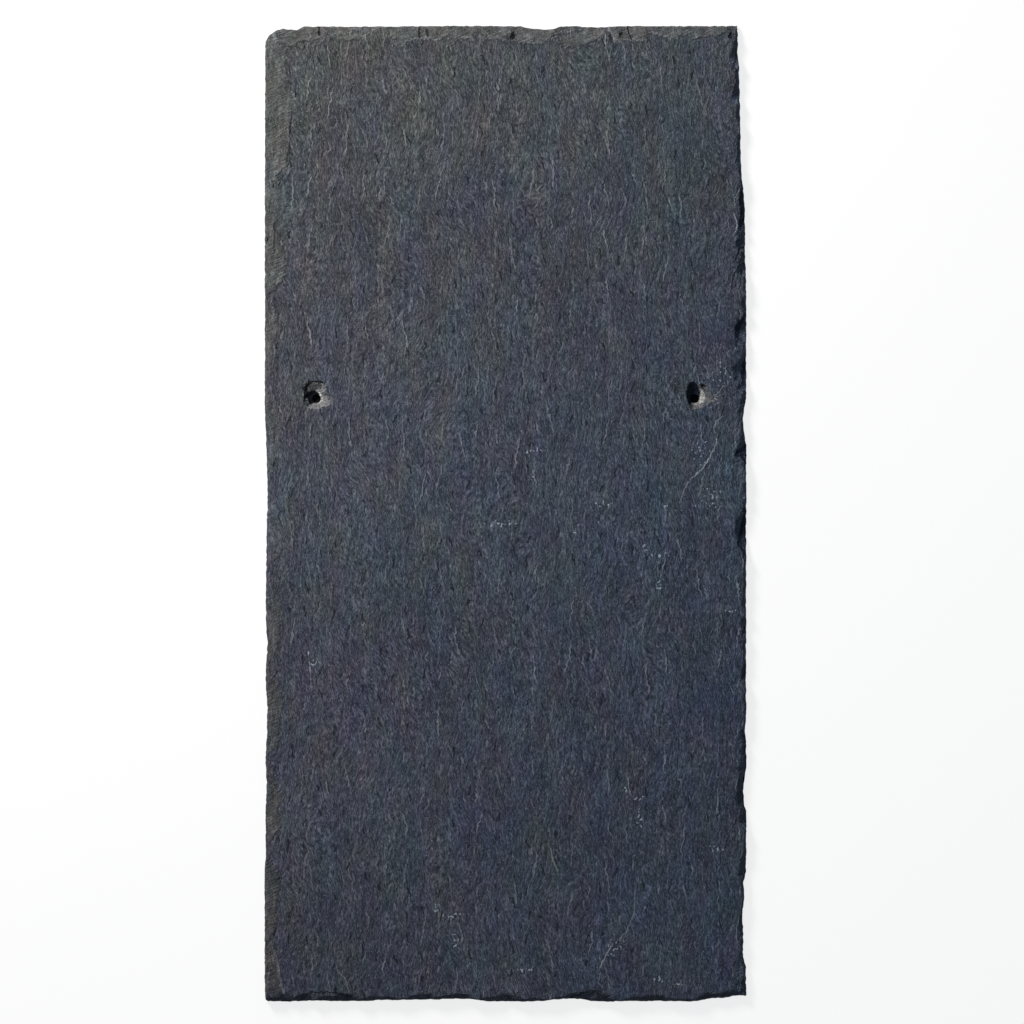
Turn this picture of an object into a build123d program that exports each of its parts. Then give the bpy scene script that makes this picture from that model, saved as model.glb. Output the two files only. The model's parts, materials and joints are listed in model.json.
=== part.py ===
from build123d import *
import math
import os

# A riven roofing slate, one piece of stone split from the block, lying on its bed with its weathering
# face up. The origin is the middle of the bed. +Y runs to the head, +X to the right hand, and +Z is up
# out of the weathering face.

# Sizes of the slate, in millimetres.
slate_length = 500.0
slate_width = 247.0
slate_thickness = 6.0

# A knife-trimmed edge wanders inside its straight line by about this much at most.
trim_tolerance = 5.0

# The knife leaves the foot of the edge square. Above the foot the stone breaks back as a narrow bevel.
edge_foot = 1.5
bevel_reach = 1.2

# The largest of the flakes that spall off the face along the edges: half its length along the edge, how
# far it runs in from the edge, and by how many degrees it runs askew.
flake_half_length = 26.0
flake_reach = 16.0
flake_turn = 50.0

# The nail holes are punched from the bed, so the stone spalls off round them on the face. The crater
# drops by one step at its rim and then narrows as a funnel to a small ledge round the hole.
nail_hole_diameter = 4.5
nail_hole_wall = 2.4
nail_hole_from_tail = 309.0
nail_hole_from_side = 26.7
crater_radius = 8.0
crater_step_depth = 1.7
crater_step_reach = 1.6
crater_ledge = 0.6

# How far a cutting tool runs past the stone.
overrun = 5.0

# The four trimmed edges, walked anticlockwise round the face. Each point is a share of the edge's
# length, from the corner where that edge begins, and a share of the trim tolerance.
tail_shares = [
    (0.001, 0.27), (0.008, 0.02), (0.053, 0.00), (0.090, 0.10), (0.182, 0.04), (0.223, 0.08),
    (0.240, 0.16), (0.314, 0.18), (0.381, 0.25), (0.406, 0.30), (0.430, 0.26), (0.460, 0.02),
    (0.571, 0.01), (0.605, 0.22), (0.630, 0.30), (0.654, 0.28), (0.679, 0.07), (0.696, 0.00),
    (0.812, 0.06), (0.895, 0.02), (0.928, 0.35), (0.949, 0.35), (0.978, 0.63),
]
right_side_shares = [
    (0.006, 0.02), (0.037, 0.06), (0.045, 0.29), (0.058, 0.34), (0.067, 0.29), (0.092, 0.43),
    (0.106, 0.20), (0.123, 0.30), (0.133, 0.02), (0.248, 0.00), (0.264, 0.02), (0.278, 0.16),
    (0.293, 0.02), (0.412, 0.02), (0.571, 0.01), (0.584, 0.26), (0.596, 0.37), (0.608, 0.24),
    (0.619, 0.01), (0.743, 0.02), (0.758, 0.12), (0.811, 0.15), (0.832, 0.29), (0.842, 0.46),
    (0.860, 0.56), (0.885, 0.61), (0.959, 0.73), (0.971, 0.94), (0.979, 0.85),
]
head_shares = [
    (0.019, 0.03), (0.097, 0.02), (0.279, 0.05), (0.296, 0.15), (0.329, 0.14), (0.362, 0.01),
    (0.383, 0.05), (0.404, 0.35), (0.428, 0.38), (0.453, 0.24), (0.470, 0.05), (0.615, 0.00),
    (0.719, 0.07), (0.918, 0.09), (0.935, 0.47), (0.959, 0.30), (0.976, 0.49), (0.992, 1.05),
]
left_side_shares = [
    (0.017, 0.06), (0.035, 0.05), (0.179, 0.03), (0.392, 0.02), (0.425, 0.14), (0.459, 0.26),
    (0.484, 0.29), (0.527, 0.20), (0.588, 0.13), (0.619, 0.15), (0.632, 0.29), (0.668, 0.09),
    (0.699, 0.28), (0.724, 0.24), (0.754, 0.07), (0.777, 0.22), (0.816, 0.08), (0.845, 0.15),
    (0.857, 0.05), (0.871, 0.00), (0.985, 0.01),
]

# The flakes of each edge: where the middle lies as a share of the edge's length, then shares of the
# largest half length, of the largest reach, of the stone above the foot that the flake takes, and of the
# largest turn, with a turn towards the next corner as plus.
tail_flake_shares = [
    (0.016, 0.26, 0.30, 0.40, 0.2), (0.048, 0.20, 0.30, 0.75, -0.3), (0.090, 0.30, 0.20, 0.55, 0.4),
    (0.128, 0.28, 0.28, 0.70, -0.3), (0.176, 0.24, 0.24, 0.80, 0.5), (0.216, 0.26, 0.14, 0.70, -0.4),
    (0.262, 0.30, 0.18, 0.60, 0.3), (0.332, 0.30, 0.30, 0.50, 0.5), (0.372, 0.26, 0.12, 0.60, -0.3),
    (0.412, 0.24, 0.24, 0.55, 0.4), (0.455, 0.36, 0.14, 0.70, -0.4), (0.515, 0.44, 0.20, 0.55, 0.4),
    (0.575, 0.34, 0.14, 0.70, 0.3), (0.632, 0.30, 0.18, 0.60, -0.4), (0.672, 0.34, 0.34, 0.70, 0.5),
    (0.722, 0.44, 0.16, 0.45, 0.4), (0.782, 0.26, 0.20, 0.75, -0.5), (0.835, 0.40, 0.14, 0.60, 0.4),
    (0.892, 0.30, 0.16, 0.70, -0.3), (0.940, 0.30, 0.24, 0.50, 0.4), (0.978, 0.24, 0.26, 0.60, 0.3),
]
right_flake_shares = [
    (0.010, 0.30, 0.24, 0.60, -0.2), (0.036, 0.34, 0.44, 0.45, -0.6), (0.085, 0.30, 0.16, 0.60, 0.3),
    (0.128, 0.34, 0.18, 0.75, -0.4), (0.180, 0.52, 0.15, 0.65, -0.5), (0.229, 0.20, 0.20, 0.75, -0.6),
    (0.250, 0.34, 0.16, 0.60, -0.4), (0.273, 0.20, 0.28, 0.80, 0.5), (0.333, 0.20, 0.26, 0.75, -0.6),
    (0.382, 0.22, 0.22, 0.80, -0.5), (0.425, 0.36, 0.12, 0.60, 0.3), (0.468, 0.36, 0.42, 0.85, -0.9),
    (0.508, 0.26, 0.16, 0.60, 0.4), (0.562, 0.28, 0.44, 0.85, -0.7), (0.598, 0.40, 0.20, 0.45, -0.3),
    (0.637, 0.34, 0.46, 0.85, -0.9), (0.661, 0.30, 0.20, 0.70, -0.3), (0.684, 0.26, 0.48, 0.85, -0.9),
    (0.716, 0.20, 0.22, 0.60, 0.3), (0.752, 0.22, 0.50, 0.85, -0.9), (0.774, 0.20, 0.30, 0.75, -0.9),
    (0.797, 0.26, 0.23, 0.80, -0.2), (0.822, 0.32, 0.22, 0.85, 0.2), (0.860, 0.36, 0.18, 0.60, -0.4),
    (0.905, 0.20, 0.22, 0.75, -0.5), (0.929, 0.22, 0.38, 0.70, -0.9), (0.948, 0.16, 0.26, 0.80, -0.5),
    (0.968, 0.22, 0.42, 0.70, -0.9), (0.988, 0.22, 0.26, 0.50, -0.3),
]
head_flake_shares = [
    (0.020, 0.30, 0.42, 0.75, 0.2), (0.068, 0.44, 0.36, 0.45, -0.4), (0.114, 0.46, 0.40, 0.42, 0.4),
    (0.159, 0.64, 0.46, 0.50, -0.2), (0.205, 0.40, 0.40, 0.45, 0.3), (0.240, 0.38, 0.54, 0.80, 0.0),
    (0.285, 0.50, 0.36, 0.45, 0.4), (0.335, 0.46, 0.42, 0.45, -0.3), (0.375, 0.56, 0.64, 0.55, 0.8),
    (0.430, 0.46, 0.40, 0.45, -0.4), (0.473, 0.36, 0.40, 0.55, 0.5), (0.522, 0.40, 0.48, 0.60, 0.1),
    (0.584, 0.40, 0.46, 0.50, -0.3), (0.630, 0.44, 0.40, 0.40, 0.4), (0.677, 0.52, 0.50, 0.50, 0.0),
    (0.735, 0.50, 0.42, 0.45, 0.5), (0.790, 0.54, 0.44, 0.40, -0.5), (0.845, 0.52, 0.46, 0.45, 0.4),
    (0.895, 0.50, 0.50, 0.45, -0.4), (0.950, 0.46, 0.56, 0.50, 0.3),
]
left_flake_shares = [
    (0.012, 0.40, 0.52, 0.50, 0.2), (0.036, 0.60, 0.74, 0.36, -0.2), (0.057, 0.68, 0.78, 0.36, 0.3),
    (0.077, 0.60, 1.00, 0.34, 0.1), (0.098, 0.78, 0.82, 0.34, -0.2), (0.119, 0.72, 0.80, 0.34, 0.1),
    (0.136, 0.46, 0.76, 0.36, -0.1), (0.170, 0.58, 0.42, 0.45, 0.4), (0.208, 0.62, 0.48, 0.40, -0.4),
    (0.252, 0.66, 0.72, 0.30, 0.5), (0.300, 0.64, 0.36, 0.45, -0.3), (0.347, 0.64, 0.34, 0.48, 0.3),
    (0.392, 0.72, 0.38, 0.40, -0.5), (0.440, 0.68, 0.30, 0.50, 0.3), (0.488, 0.72, 0.36, 0.45, -0.4),
    (0.536, 0.68, 0.44, 0.38, 0.5), (0.584, 0.72, 0.32, 0.50, -0.3), (0.632, 0.68, 0.38, 0.45, 0.4),
    (0.680, 0.72, 0.44, 0.40, -0.5), (0.728, 0.68, 0.34, 0.50, 0.3), (0.776, 0.72, 0.40, 0.45, -0.4),
    (0.824, 0.68, 0.36, 0.45, 0.5), (0.872, 0.72, 0.42, 0.45, -0.3), (0.920, 0.62, 0.38, 0.45, 0.4),
    (0.966, 0.54, 0.60, 0.45, 0.3),
]

# The rims of the two craters, as a bearing round the hole in degrees and a share of the crater radius.
left_crater_shares = [
    (20, 0.81), (52, 1.06), (72, 1.09), (100, 1.04), (123, 1.20), (150, 0.82), (193, 0.78), (220, 0.80),
    (272, 0.84), (328, 0.89), (352, 1.01),
]
right_crater_shares = [
    (13, 1.10), (36, 1.09), (56, 1.06), (74, 0.91), (95, 1.20), (115, 0.97), (147, 0.78), (178, 0.66),
    (233, 0.66), (270, 0.69), (304, 0.80), (339, 0.95), (355, 1.25),
]

half_length = slate_length / 2
half_width = slate_width / 2
stone_above_foot = slate_thickness - edge_foot

# Each edge as its first corner, the direction in which it is walked, its length, the direction into the
# stone, its trimmed line and its flakes.
edges = [
    (Vector(-half_width, -half_length), Vector(1, 0), slate_width, Vector(0, 1),
     tail_shares, tail_flake_shares),
    (Vector(half_width, -half_length), Vector(0, 1), slate_length, Vector(-1, 0),
     right_side_shares, right_flake_shares),
    (Vector(half_width, half_length), Vector(-1, 0), slate_width, Vector(0, -1),
     head_shares, head_flake_shares),
    (Vector(-half_width, half_length), Vector(0, -1), slate_length, Vector(1, 0),
     left_side_shares, left_flake_shares),
]


def outline_face(inset, height):
    """The trimmed outline as a flat face at a height, drawn in by inset on every side."""
    points = []
    for corner, along, length, inward, line_shares, _ in edges:
        for place, depth in line_shares:
            flat = corner + along * (place * length) + inward * (depth * trim_tolerance)
            x = flat.X * (1 - inset / half_width)
            y = flat.Y * (1 - inset / half_length)
            points.append(Vector(x, y, height))
    return make_face(Polyline(*points, close=True))


def trimmed_depth(line_shares, place):
    """How far the trimmed line lies inside the straight edge at a share of the edge's length."""
    before = [point for point in line_shares if point[0] <= place] or line_shares[:1]
    after = [point for point in line_shares if point[0] > place] or line_shares[-1:]
    (near, near_depth), (far, far_depth) = before[-1], after[0]
    blend = 0 if far == near else (place - near) / (far - near)
    return (near_depth + (far_depth - near_depth) * blend) * trim_tolerance


def flake_scoop(corner, along, length, inward, line_shares, flake):
    """A leaning cylinder whose lowest line falls from the face at the flake's reach to its drop at the edge."""
    place, half_length_share, reach_share, drop_share, turn_share = flake
    half_flake = half_length_share * flake_half_length
    reach = reach_share * flake_reach
    drop = drop_share * stone_above_foot
    lean = math.atan2(drop, reach)
    rise = drop * math.cos(lean)
    radius = (half_flake ** 2 + rise ** 2) / (2 * rise)
    turn = math.radians(turn_share * flake_turn)
    run = inward * math.cos(turn) + along * math.sin(turn)
    edge = corner + along * (place * length) + inward * trimmed_depth(line_shares, place)
    feather = edge + run * reach + Vector(0, 0, slate_thickness)
    downhill = run * -math.cos(lean) + Vector(0, 0, -math.sin(lean))
    upright = run * -math.sin(lean) + Vector(0, 0, math.cos(lean))
    tool_length = reach / math.cos(lean) + (trim_tolerance + overrun) / math.cos(turn)
    seat = Plane(origin=feather + upright * radius, z_dir=downhill)
    return seat * Cylinder(radius, tool_length, align=(Align.CENTER, Align.CENTER, Align.MIN))


def crater_outline(rim_shares, neck_radius, closing_share, height):
    """The crater's rim round the origin, closed in by a share of the way to its neck, as a flat face."""
    points = []
    for bearing, share in rim_shares:
        rim_radius = share * crater_radius
        radius = rim_radius + (neck_radius - rim_radius) * closing_share
        turn = math.radians(bearing)
        points.append(Vector(radius * math.cos(turn), radius * math.sin(turn), height))
    return make_face(Polyline(*points, close=True))


def punched_hole(x, y, rim_shares):
    """What a punch takes out: a round hole up from the bed, opening into a stepped crater on the face."""
    hole_radius = nail_hole_diameter / 2
    neck_radius = hole_radius + crater_ledge
    step_closing_share = crater_step_reach / (crater_radius - neck_radius)
    rim = crater_outline(rim_shares, neck_radius, 0, slate_thickness)
    shoulder = crater_outline(rim_shares, neck_radius, step_closing_share, slate_thickness - crater_step_depth)
    neck = crater_outline(rim_shares, neck_radius, 1, nail_hole_wall)
    step = loft([rim, shoulder], ruled=True)
    funnel = loft([shoulder, neck], ruled=True)
    above = extrude(rim, overrun)
    hole = Cylinder(hole_radius, 2 * slate_thickness)
    return Pos(x, y, 0) * (step + funnel + above + hole)


def slate():
    """The slab with its bevelled, flaked edges and its two punched holes."""
    foot = extrude(outline_face(0, 0), edge_foot)
    bevel = loft([outline_face(0, edge_foot), outline_face(bevel_reach, slate_thickness)], ruled=True)
    stone = foot + bevel
    for corner, along, length, inward, line_shares, flake_shares in edges:
        for flake in flake_shares:
            stone -= flake_scoop(corner, along, length, inward, line_shares, flake)
    hole_x = half_width - nail_hole_from_side
    hole_y = nail_hole_from_tail - half_length
    stone -= punched_hole(-hole_x, hole_y, left_crater_shares)
    stone -= punched_hole(hole_x, hole_y, right_crater_shares)
    return stone


os.makedirs("parts", exist_ok=True)
export_step(slate(), "parts/slate.step")
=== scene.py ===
# %% [markdown]
# A riven roofing slate, lying flat, seen square from above. Slate splits along its cleavage, so its face is
# a skin of very thin steps and fibres that all run one way, and its edges are broken back by the trimmer's
# knife. The CAD solid holds the outline, the flakes broken off the edges and the two punched nail holes.
# This lesson lays a fine surface over that solid and gives the surface the stone's relief and colour.

# %% Load the solid
import json
import math

import bpy
import numpy as np
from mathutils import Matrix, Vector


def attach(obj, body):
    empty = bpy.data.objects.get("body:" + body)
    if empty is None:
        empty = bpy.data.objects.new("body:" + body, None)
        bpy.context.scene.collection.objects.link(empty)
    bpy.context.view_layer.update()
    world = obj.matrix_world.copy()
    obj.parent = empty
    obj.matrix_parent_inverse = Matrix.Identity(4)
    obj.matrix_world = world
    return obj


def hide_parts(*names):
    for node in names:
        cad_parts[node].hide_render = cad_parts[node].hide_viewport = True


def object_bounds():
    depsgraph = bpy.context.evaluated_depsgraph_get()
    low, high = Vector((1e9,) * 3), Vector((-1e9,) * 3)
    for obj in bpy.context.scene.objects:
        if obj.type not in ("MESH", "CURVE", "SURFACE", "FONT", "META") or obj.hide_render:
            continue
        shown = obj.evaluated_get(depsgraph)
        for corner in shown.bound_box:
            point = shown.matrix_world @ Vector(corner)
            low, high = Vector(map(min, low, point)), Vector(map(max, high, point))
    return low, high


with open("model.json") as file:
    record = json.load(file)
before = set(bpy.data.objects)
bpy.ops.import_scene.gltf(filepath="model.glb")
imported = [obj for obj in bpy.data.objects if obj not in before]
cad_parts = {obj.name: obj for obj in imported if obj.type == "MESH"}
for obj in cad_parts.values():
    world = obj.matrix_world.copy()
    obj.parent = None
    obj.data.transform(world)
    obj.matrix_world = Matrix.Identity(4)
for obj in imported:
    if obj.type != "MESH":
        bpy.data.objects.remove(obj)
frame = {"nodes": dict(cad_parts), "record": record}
cad_box = [list(corner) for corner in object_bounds()]
solid = frame["nodes"]["slate"]
low, high = (np.array(corner) for corner in cad_box)
size = high - low
thickness = high[2]
MM = 0.001
print("solid", np.round(size / MM, 2), "mm")

# %% [markdown]
# The nail holes are mounts in the record, so their places and radius are read from there and not guessed
# again. Everything below that has to sit round a hole uses these values.

# %% Nail holes
holes = [mount for mount in frame["record"]["mounts"] if mount["kind"] == "bore"]
hole_places = np.array([mount["pos_m"][:2] for mount in holes])
hole_radius = holes[0]["dims"]["r_mm"] * MM
print("nail holes at", np.round(hole_places / MM, 1).tolist(), "mm, radius", hole_radius / MM)

# %% [markdown]
# Broken stone needs noise in all that follows: in the line of the edge, in the relief of the face and in
# the scars. Gradient noise is the usual choice. It is smooth, has no grid of bright spots, and a cell that
# is longer than it is wide gives the stretched grain of slate at once.


# %% Gradient noise
def hashed(ix, iy, seed):
    """A random number from 0 to 1 for each lattice point: its two whole numbers are mixed by multiplying
    with large odd numbers and folding the high bits back into the low ones."""
    h = ix.astype(np.uint32) * np.uint32(374761393) + iy.astype(np.uint32) * np.uint32(668265263)
    h = (h + np.uint32(seed * 2246822519 % 2**32)) ^ (h >> np.uint32(13))
    h = (h ^ (h >> np.uint32(15))) * np.uint32(2654435761)
    return ((h ^ (h >> np.uint32(16))) / np.float64(2**32)).astype(float)


def noise(x, y, seed):
    """Gradient noise: each lattice corner has a slope in a random direction, and the four slopes are
    blended by 6t^5 - 15t^4 + 10t^3 across the cell. The result lies between about -0.7 and 0.7."""
    ix, iy = np.floor(x).astype(np.int64), np.floor(y).astype(np.int64)
    fx, fy = x - ix, y - iy
    corners = []
    for cx in (0, 1):
        for cy in (0, 1):
            turn = hashed(ix + cx, iy + cy, seed) * 2 * math.pi
            corners.append(np.cos(turn) * (fx - cx) + np.sin(turn) * (fy - cy))
    bx = fx**3 * (fx * (6 * fx - 15) + 10)
    by = fy**3 * (fy * (6 * fy - 15) + 10)
    left = corners[0] * (1 - by) + corners[1] * by
    right = corners[2] * (1 - by) + corners[3] * by
    return left * (1 - bx) + right * bx


def layered_noise(x, y, seed, layers=3, roughness=0.5):
    """A sum of noises, each twice as fine as the one before and weaker by roughness."""
    total = np.zeros(np.broadcast(x, y).shape)
    strength = 1.0
    for layer in range(layers):
        total = total + strength * noise(x * 2**layer, y * 2**layer, seed + layer)
        strength *= roughness
    return total


def patches(x, y, wide, tall, seed, layers=1, roughness=0.5):
    """Layered noise in patches of so many millimetres across and along the slate."""
    return layered_noise(x / (wide * MM), y / (tall * MM), seed, layers, roughness)


def smooth_step(value, start, end):
    """0 below start and 1 above end, with 3t^2 - 2t^3 between them."""
    t = np.clip((value - start) / (end - start), 0, 1)
    return t * t * (3 - 2 * t)


# %% [markdown]
# The outline is the trimmed line that the knife left. It is in the solid already, as the border of its
# flat bed, so it is read from there: a border edge is one that only one triangle of the bed uses. Walked in
# order, these edges make three loops, the outline and the two nail holes, and the longest is the outline.


# %% The trimmed outline
def rows(collection, field, kind=float):
    """A field of a mesh's points or triangles, three numbers to a row."""
    values = np.empty(len(collection) * 3, kind)
    collection.foreach_get(field, values)
    return values.reshape(-1, 3)


def bed_outline(mesh):
    """The outline of the flat bed as points in order, anticlockwise from above: the directed edges of the
    bed's triangles that have no partner running the other way, chained end to end."""
    mesh.calc_loop_triangles()
    corners = rows(mesh.loop_triangles, "vertices", np.int64)
    points, merged = np.unique(np.round(rows(mesh.vertices, "co"), 7), axis=0, return_inverse=True)
    corners = merged.reshape(-1)[corners]
    bed = corners[(points[corners][:, :, 2] < 0.01 * MM).all(axis=1)]
    edges = np.concatenate([bed[:, [0, 1]], bed[:, [1, 2]], bed[:, [2, 0]]])
    pairs = {(int(a), int(b)) for a, b in edges}
    following = {a: b for a, b in pairs if (b, a) not in pairs}
    loops = []
    while following:
        loop = [min(following)]
        while loop[-1] in following:
            loop.append(following.pop(loop[-1]))
        loops.append(points[loop[:-1], :2])
    longest = max(loops, key=lambda loop: np.ptp(loop[:, 1]))
    return longest[::-1]


outline = bed_outline(solid.data)
print("outline points", len(outline))

# %% [markdown]
# The face is a grid with two parameters, u across the slate and v along it. It closes up towards the four
# edges, so that its triangles lie where the flakes are and there is something to show.


# %% Grid lines
def graded_shares(length, cells, spacing):
    """Shares from 0 to 1 that cut a length into cells whose widths follow spacing(place): the running sum
    of 1 / spacing is cut into equal parts and read back."""
    place = np.linspace(0, length, 4001)
    density = 1 / spacing(place)
    running = np.concatenate([[0], np.cumsum((density[1:] + density[:-1]) / 2)])
    return np.interp(np.linspace(0, running[-1], cells + 1), running, place) / length


edge_spacing = 0.22 * MM
across_spacing = 1.7 * MM
along_spacing = 1.35 * MM
edge_band = 12 * MM
across_cells = 190
along_cells = 400


def widths(length, open_spacing):
    """Fine at both ends of a length and even between them: the edge spacing grows to the open one over
    the edge band by share^0.7."""
    def spacing(place):
        share = np.clip(np.minimum(place, length - place) / edge_band, 0, 1)
        return edge_spacing + (open_spacing - edge_spacing) * share**0.7
    return spacing


u_lines = graded_shares(size[0], across_cells, widths(size[0], across_spacing))
v_lines = graded_shares(size[1], along_cells, widths(size[1], along_spacing))
print("grid", across_cells, "by", along_cells, "cells")

# %% [markdown]
# The trimmed line is now cut at its four corners, and each side is walked at the grid's shares. The grid
# between the four sides is a Coons patch: the two blends between facing sides are added, and the plain
# blend of the four corners is taken away once.


# %% From outline to grid
def cut_at_corners(loop):
    """The tail, right side, head and left side as four lines, cut where the loop comes nearest to the
    corners of its box."""
    box = np.array([[low[0], low[1]], [high[0], low[1]], [high[0], high[1]], [low[0], high[1]]])
    at = [int(np.argmin(np.hypot(*(loop - corner).T))) for corner in box]
    loop = np.roll(loop, -at[0], axis=0)
    at = [(a - at[0]) % len(loop) for a in at] + [len(loop)]
    closed = np.vstack([loop, loop[:1]])
    return [closed[at[k] : at[k + 1] + 1] for k in range(4)]


def walk(line, shares):
    """Points at shares of a line's length."""
    steps = np.hypot(*np.diff(line, axis=0).T)
    place = np.concatenate([[0], np.cumsum(steps)]) / steps.sum()
    return np.column_stack([np.interp(shares, place, line[:, k]) for k in (0, 1)])


def coons(tail, right, head, left):
    """P(u, v) = (1-v) tail(u) + v head(u) + (1-u) left(v) + u right(v), less the corners' plain blend."""
    u, v = u_lines[:, None, None], v_lines[None, :, None]
    along = (1 - v) * tail[:, None] + v * head[:, None]
    across = (1 - u) * left[None] + u * right[None]
    corners = (1 - u) * ((1 - v) * tail[0] + v * head[0]) + u * ((1 - v) * tail[-1] + v * head[-1])
    return along + across - corners


tail_line, right_line, head_line, left_line = cut_at_corners(outline)
plain_grid = coons(
    walk(tail_line, u_lines),
    walk(right_line, v_lines),
    walk(head_line[::-1], u_lines),
    walk(left_line[::-1], v_lines),
)
print("grid points", plain_grid.shape[:2])

# %% [markdown]
# A knife breaks stone and doesn't cut it, so the edge line also crumbles. The crumble only goes inwards,
# which keeps the slate inside its box.

# %% The crumbled edge
crumble_depth = 0.40 * MM
crumble_length = 2.6 * MM
crumble_band = 3 * MM


def crumble(along, side, seed):
    """How far the edge has crumbled at places along it: depth * (0.45 + layered noise), never outwards."""
    rough = layered_noise(along / crumble_length, side * 7.3, seed, 4, 0.62)
    return crumble_depth * np.clip(0.45 + rough, 0, 1.3)


def crumbled(grid):
    """The grid drawn in towards its middle by the crumble, which fades over the band by share^2."""
    x, y = grid[..., 0], grid[..., 1]
    near_side = np.clip(1 - np.minimum(u_lines, 1 - u_lines)[:, None] * size[0] / crumble_band, 0, 1) ** 2
    near_end = np.clip(1 - np.minimum(v_lines, 1 - v_lines)[None, :] * size[1] / crumble_band, 0, 1) ** 2
    shift_x = np.sign(x) * crumble(y, np.sign(x), 11) * near_side
    shift_y = np.sign(y) * crumble(x, np.sign(y), 17) * near_end
    return np.stack([x - shift_x, y - shift_y], axis=-1)


face_grid = crumbled(plain_grid)
print("crumble up to", round(np.abs(face_grid - plain_grid).max() / MM, 2), "mm")

# %% [markdown]
# A punched hole in a grid needs a round patch in a square opening. Rings of points go out from the hole to
# just past its crater, and the last ring is zipped to the border of the opening. The zip works for any two
# rings: it walks round both at once, and each step on either ring makes one triangle with the point last
# passed on the other.

# %% Rings and zips
ring_points = 120
ring_count = 34
patch_radius = 12.2 * MM


def zipped(outer, inner, outer_turn, inner_turn):
    """Triangles between two closed rings of point numbers, anticlockwise from above. A step on the outer
    ring joins the inner point last passed, and a step on the inner ring joins the outer one."""
    turn_a, turn_b = outer_turn % (2 * math.pi), inner_turn % (2 * math.pi)
    ring_a, turn_a = outer[np.argsort(turn_a)], np.sort(turn_a)
    ring_b, turn_b = inner[np.argsort(turn_b)], np.sort(turn_b)
    last_b = ring_b[np.searchsorted(turn_b, np.roll(turn_a, -1), side="right") - 1]
    last_a = ring_a[np.searchsorted(turn_a, np.roll(turn_b, -1), side="left") - 1]
    outer_steps = np.column_stack([ring_a, np.roll(ring_a, -1), last_b])
    inner_steps = np.column_stack([np.roll(ring_b, -1), ring_b, last_a])
    return np.vstack([outer_steps, inner_steps])


def rings_round(place):
    """Rings of points from a hole's wall out to the patch radius: radius = hole + way * share^1.15."""
    angle = np.arange(ring_points) / ring_points * 2 * math.pi
    share = np.linspace(0, 1, ring_count)[:, None]
    radius = hole_radius + (patch_radius - hole_radius) * share**1.15
    return np.stack([place[0] + radius * np.cos(angle), place[1] + radius * np.sin(angle)], axis=-1)


def quads(numbers, closed=False):
    """The cells of a grid of point numbers as quads. A closed grid also joins its last column to its
    first."""
    if closed:
        numbers = np.concatenate([numbers, numbers[:, :1]], axis=1)
    a, b, c, d = numbers[:-1, :-1], numbers[1:, :-1], numbers[1:, 1:], numbers[:-1, 1:]
    return np.stack([a, b, c, d], axis=-1)


def loop_round(i0, i1, j0, j1):
    """The grid steps round a block of cells, anticlockwise from its lower left corner."""
    wide, tall = i1 - i0, j1 - j0
    loop_u = np.concatenate([np.arange(i0, i1), np.full(tall, i1), np.arange(i1, i0, -1), np.full(tall, i0)])
    loop_v = np.concatenate([np.full(wide, j0), np.arange(j0, j1), np.full(wide, j1), np.arange(j1, j0, -1)])
    return loop_u, loop_v


def openings(u_shares, v_shares, half_width):
    """Which cells of a grid stay when a square is opened round each nail hole, and the loop round each
    opening."""
    stays = np.ones((len(u_shares) - 1, len(v_shares) - 1), bool)
    loops = []
    for place in hole_places:
        shares = (place - low[:2]) / size[:2]
        half = half_width / size[:2]
        i0, i1 = np.searchsorted(u_shares, [shares[0] - half[0], shares[0] + half[0]])
        j0, j1 = np.searchsorted(v_shares, [shares[1] - half[1], shares[1] + half[1]])
        stays[i0:i1, j0:j1] = False
        loops.append(loop_round(i0, i1, j0, j1))
    return stays, loops


def bearing(places, centre=(0, 0)):
    """The bearing of each place round a centre."""
    return np.arctan2(places[:, 1] - centre[1], places[:, 0] - centre[0])


# %% [markdown]
# The heights come from the solid. A net of points is hung above it and dropped straight down with the
# Shrinkwrap modifier, which finds the flakes and the craters exactly. Before it drops, each point is pushed
# a little to one side by noise, and its height is used where it stood before, so that the clean arcs of
# the solid's flakes turn into ragged ones.


# %% Heights of the solid
def in_scene(name, data):
    """A new object with some data, linked to the scene."""
    thing = bpy.data.objects.new(name, data)
    bpy.context.scene.collection.objects.link(thing)
    return thing


def dropped_heights(places):
    """The height of the solid's top under each place: a net hung above it is projected along -Z."""
    net = bpy.data.meshes.new("net")
    net.vertices.add(len(places))
    hung = np.column_stack([places, np.full(len(places), 2 * thickness)])
    net.vertices.foreach_set("co", hung.ravel())
    holder = in_scene("net", net)
    drop = holder.modifiers.new("drop", "SHRINKWRAP")
    drop.wrap_method = "PROJECT"
    drop.use_project_z = True
    drop.use_negative_direction = True
    drop.use_positive_direction = False
    drop.target = solid
    shape = holder.evaluated_get(bpy.context.evaluated_depsgraph_get()).to_mesh()
    landed = rows(shape.vertices, "co")
    bpy.data.objects.remove(holder)
    bpy.data.meshes.remove(net)
    return landed[:, 2]


wide_push = 3.2 * MM
fine_push = 1.1 * MM
rim_clearance = 0.08 * MM


def pushed(places, inset):
    """Each place pushed aside by a wide and a fine noise, by at most a third of its inset, which is its way
    in from the nearest edge, and then kept off the outline and the hole's wall by the rim clearance."""
    x, y = places.T
    moved = []
    for seed in (23, 41):
        wide = wide_push * patches(x, y, 11, 11, seed, 2)
        fine = fine_push * patches(x, y, 2.8, 2.8, seed + 7, 3, 0.65)
        moved.append(np.clip(wide + fine, -inset / 3, inset / 3))
    aside = (places + np.column_stack(moved)) * (1 - rim_clearance / high[:2])
    for centre in hole_places:
        way = aside - centre
        far = np.hypot(*way.T)
        least = np.maximum(far, hole_radius + rim_clearance)
        aside = centre + way * (least / far)[:, None]
    return aside


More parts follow.
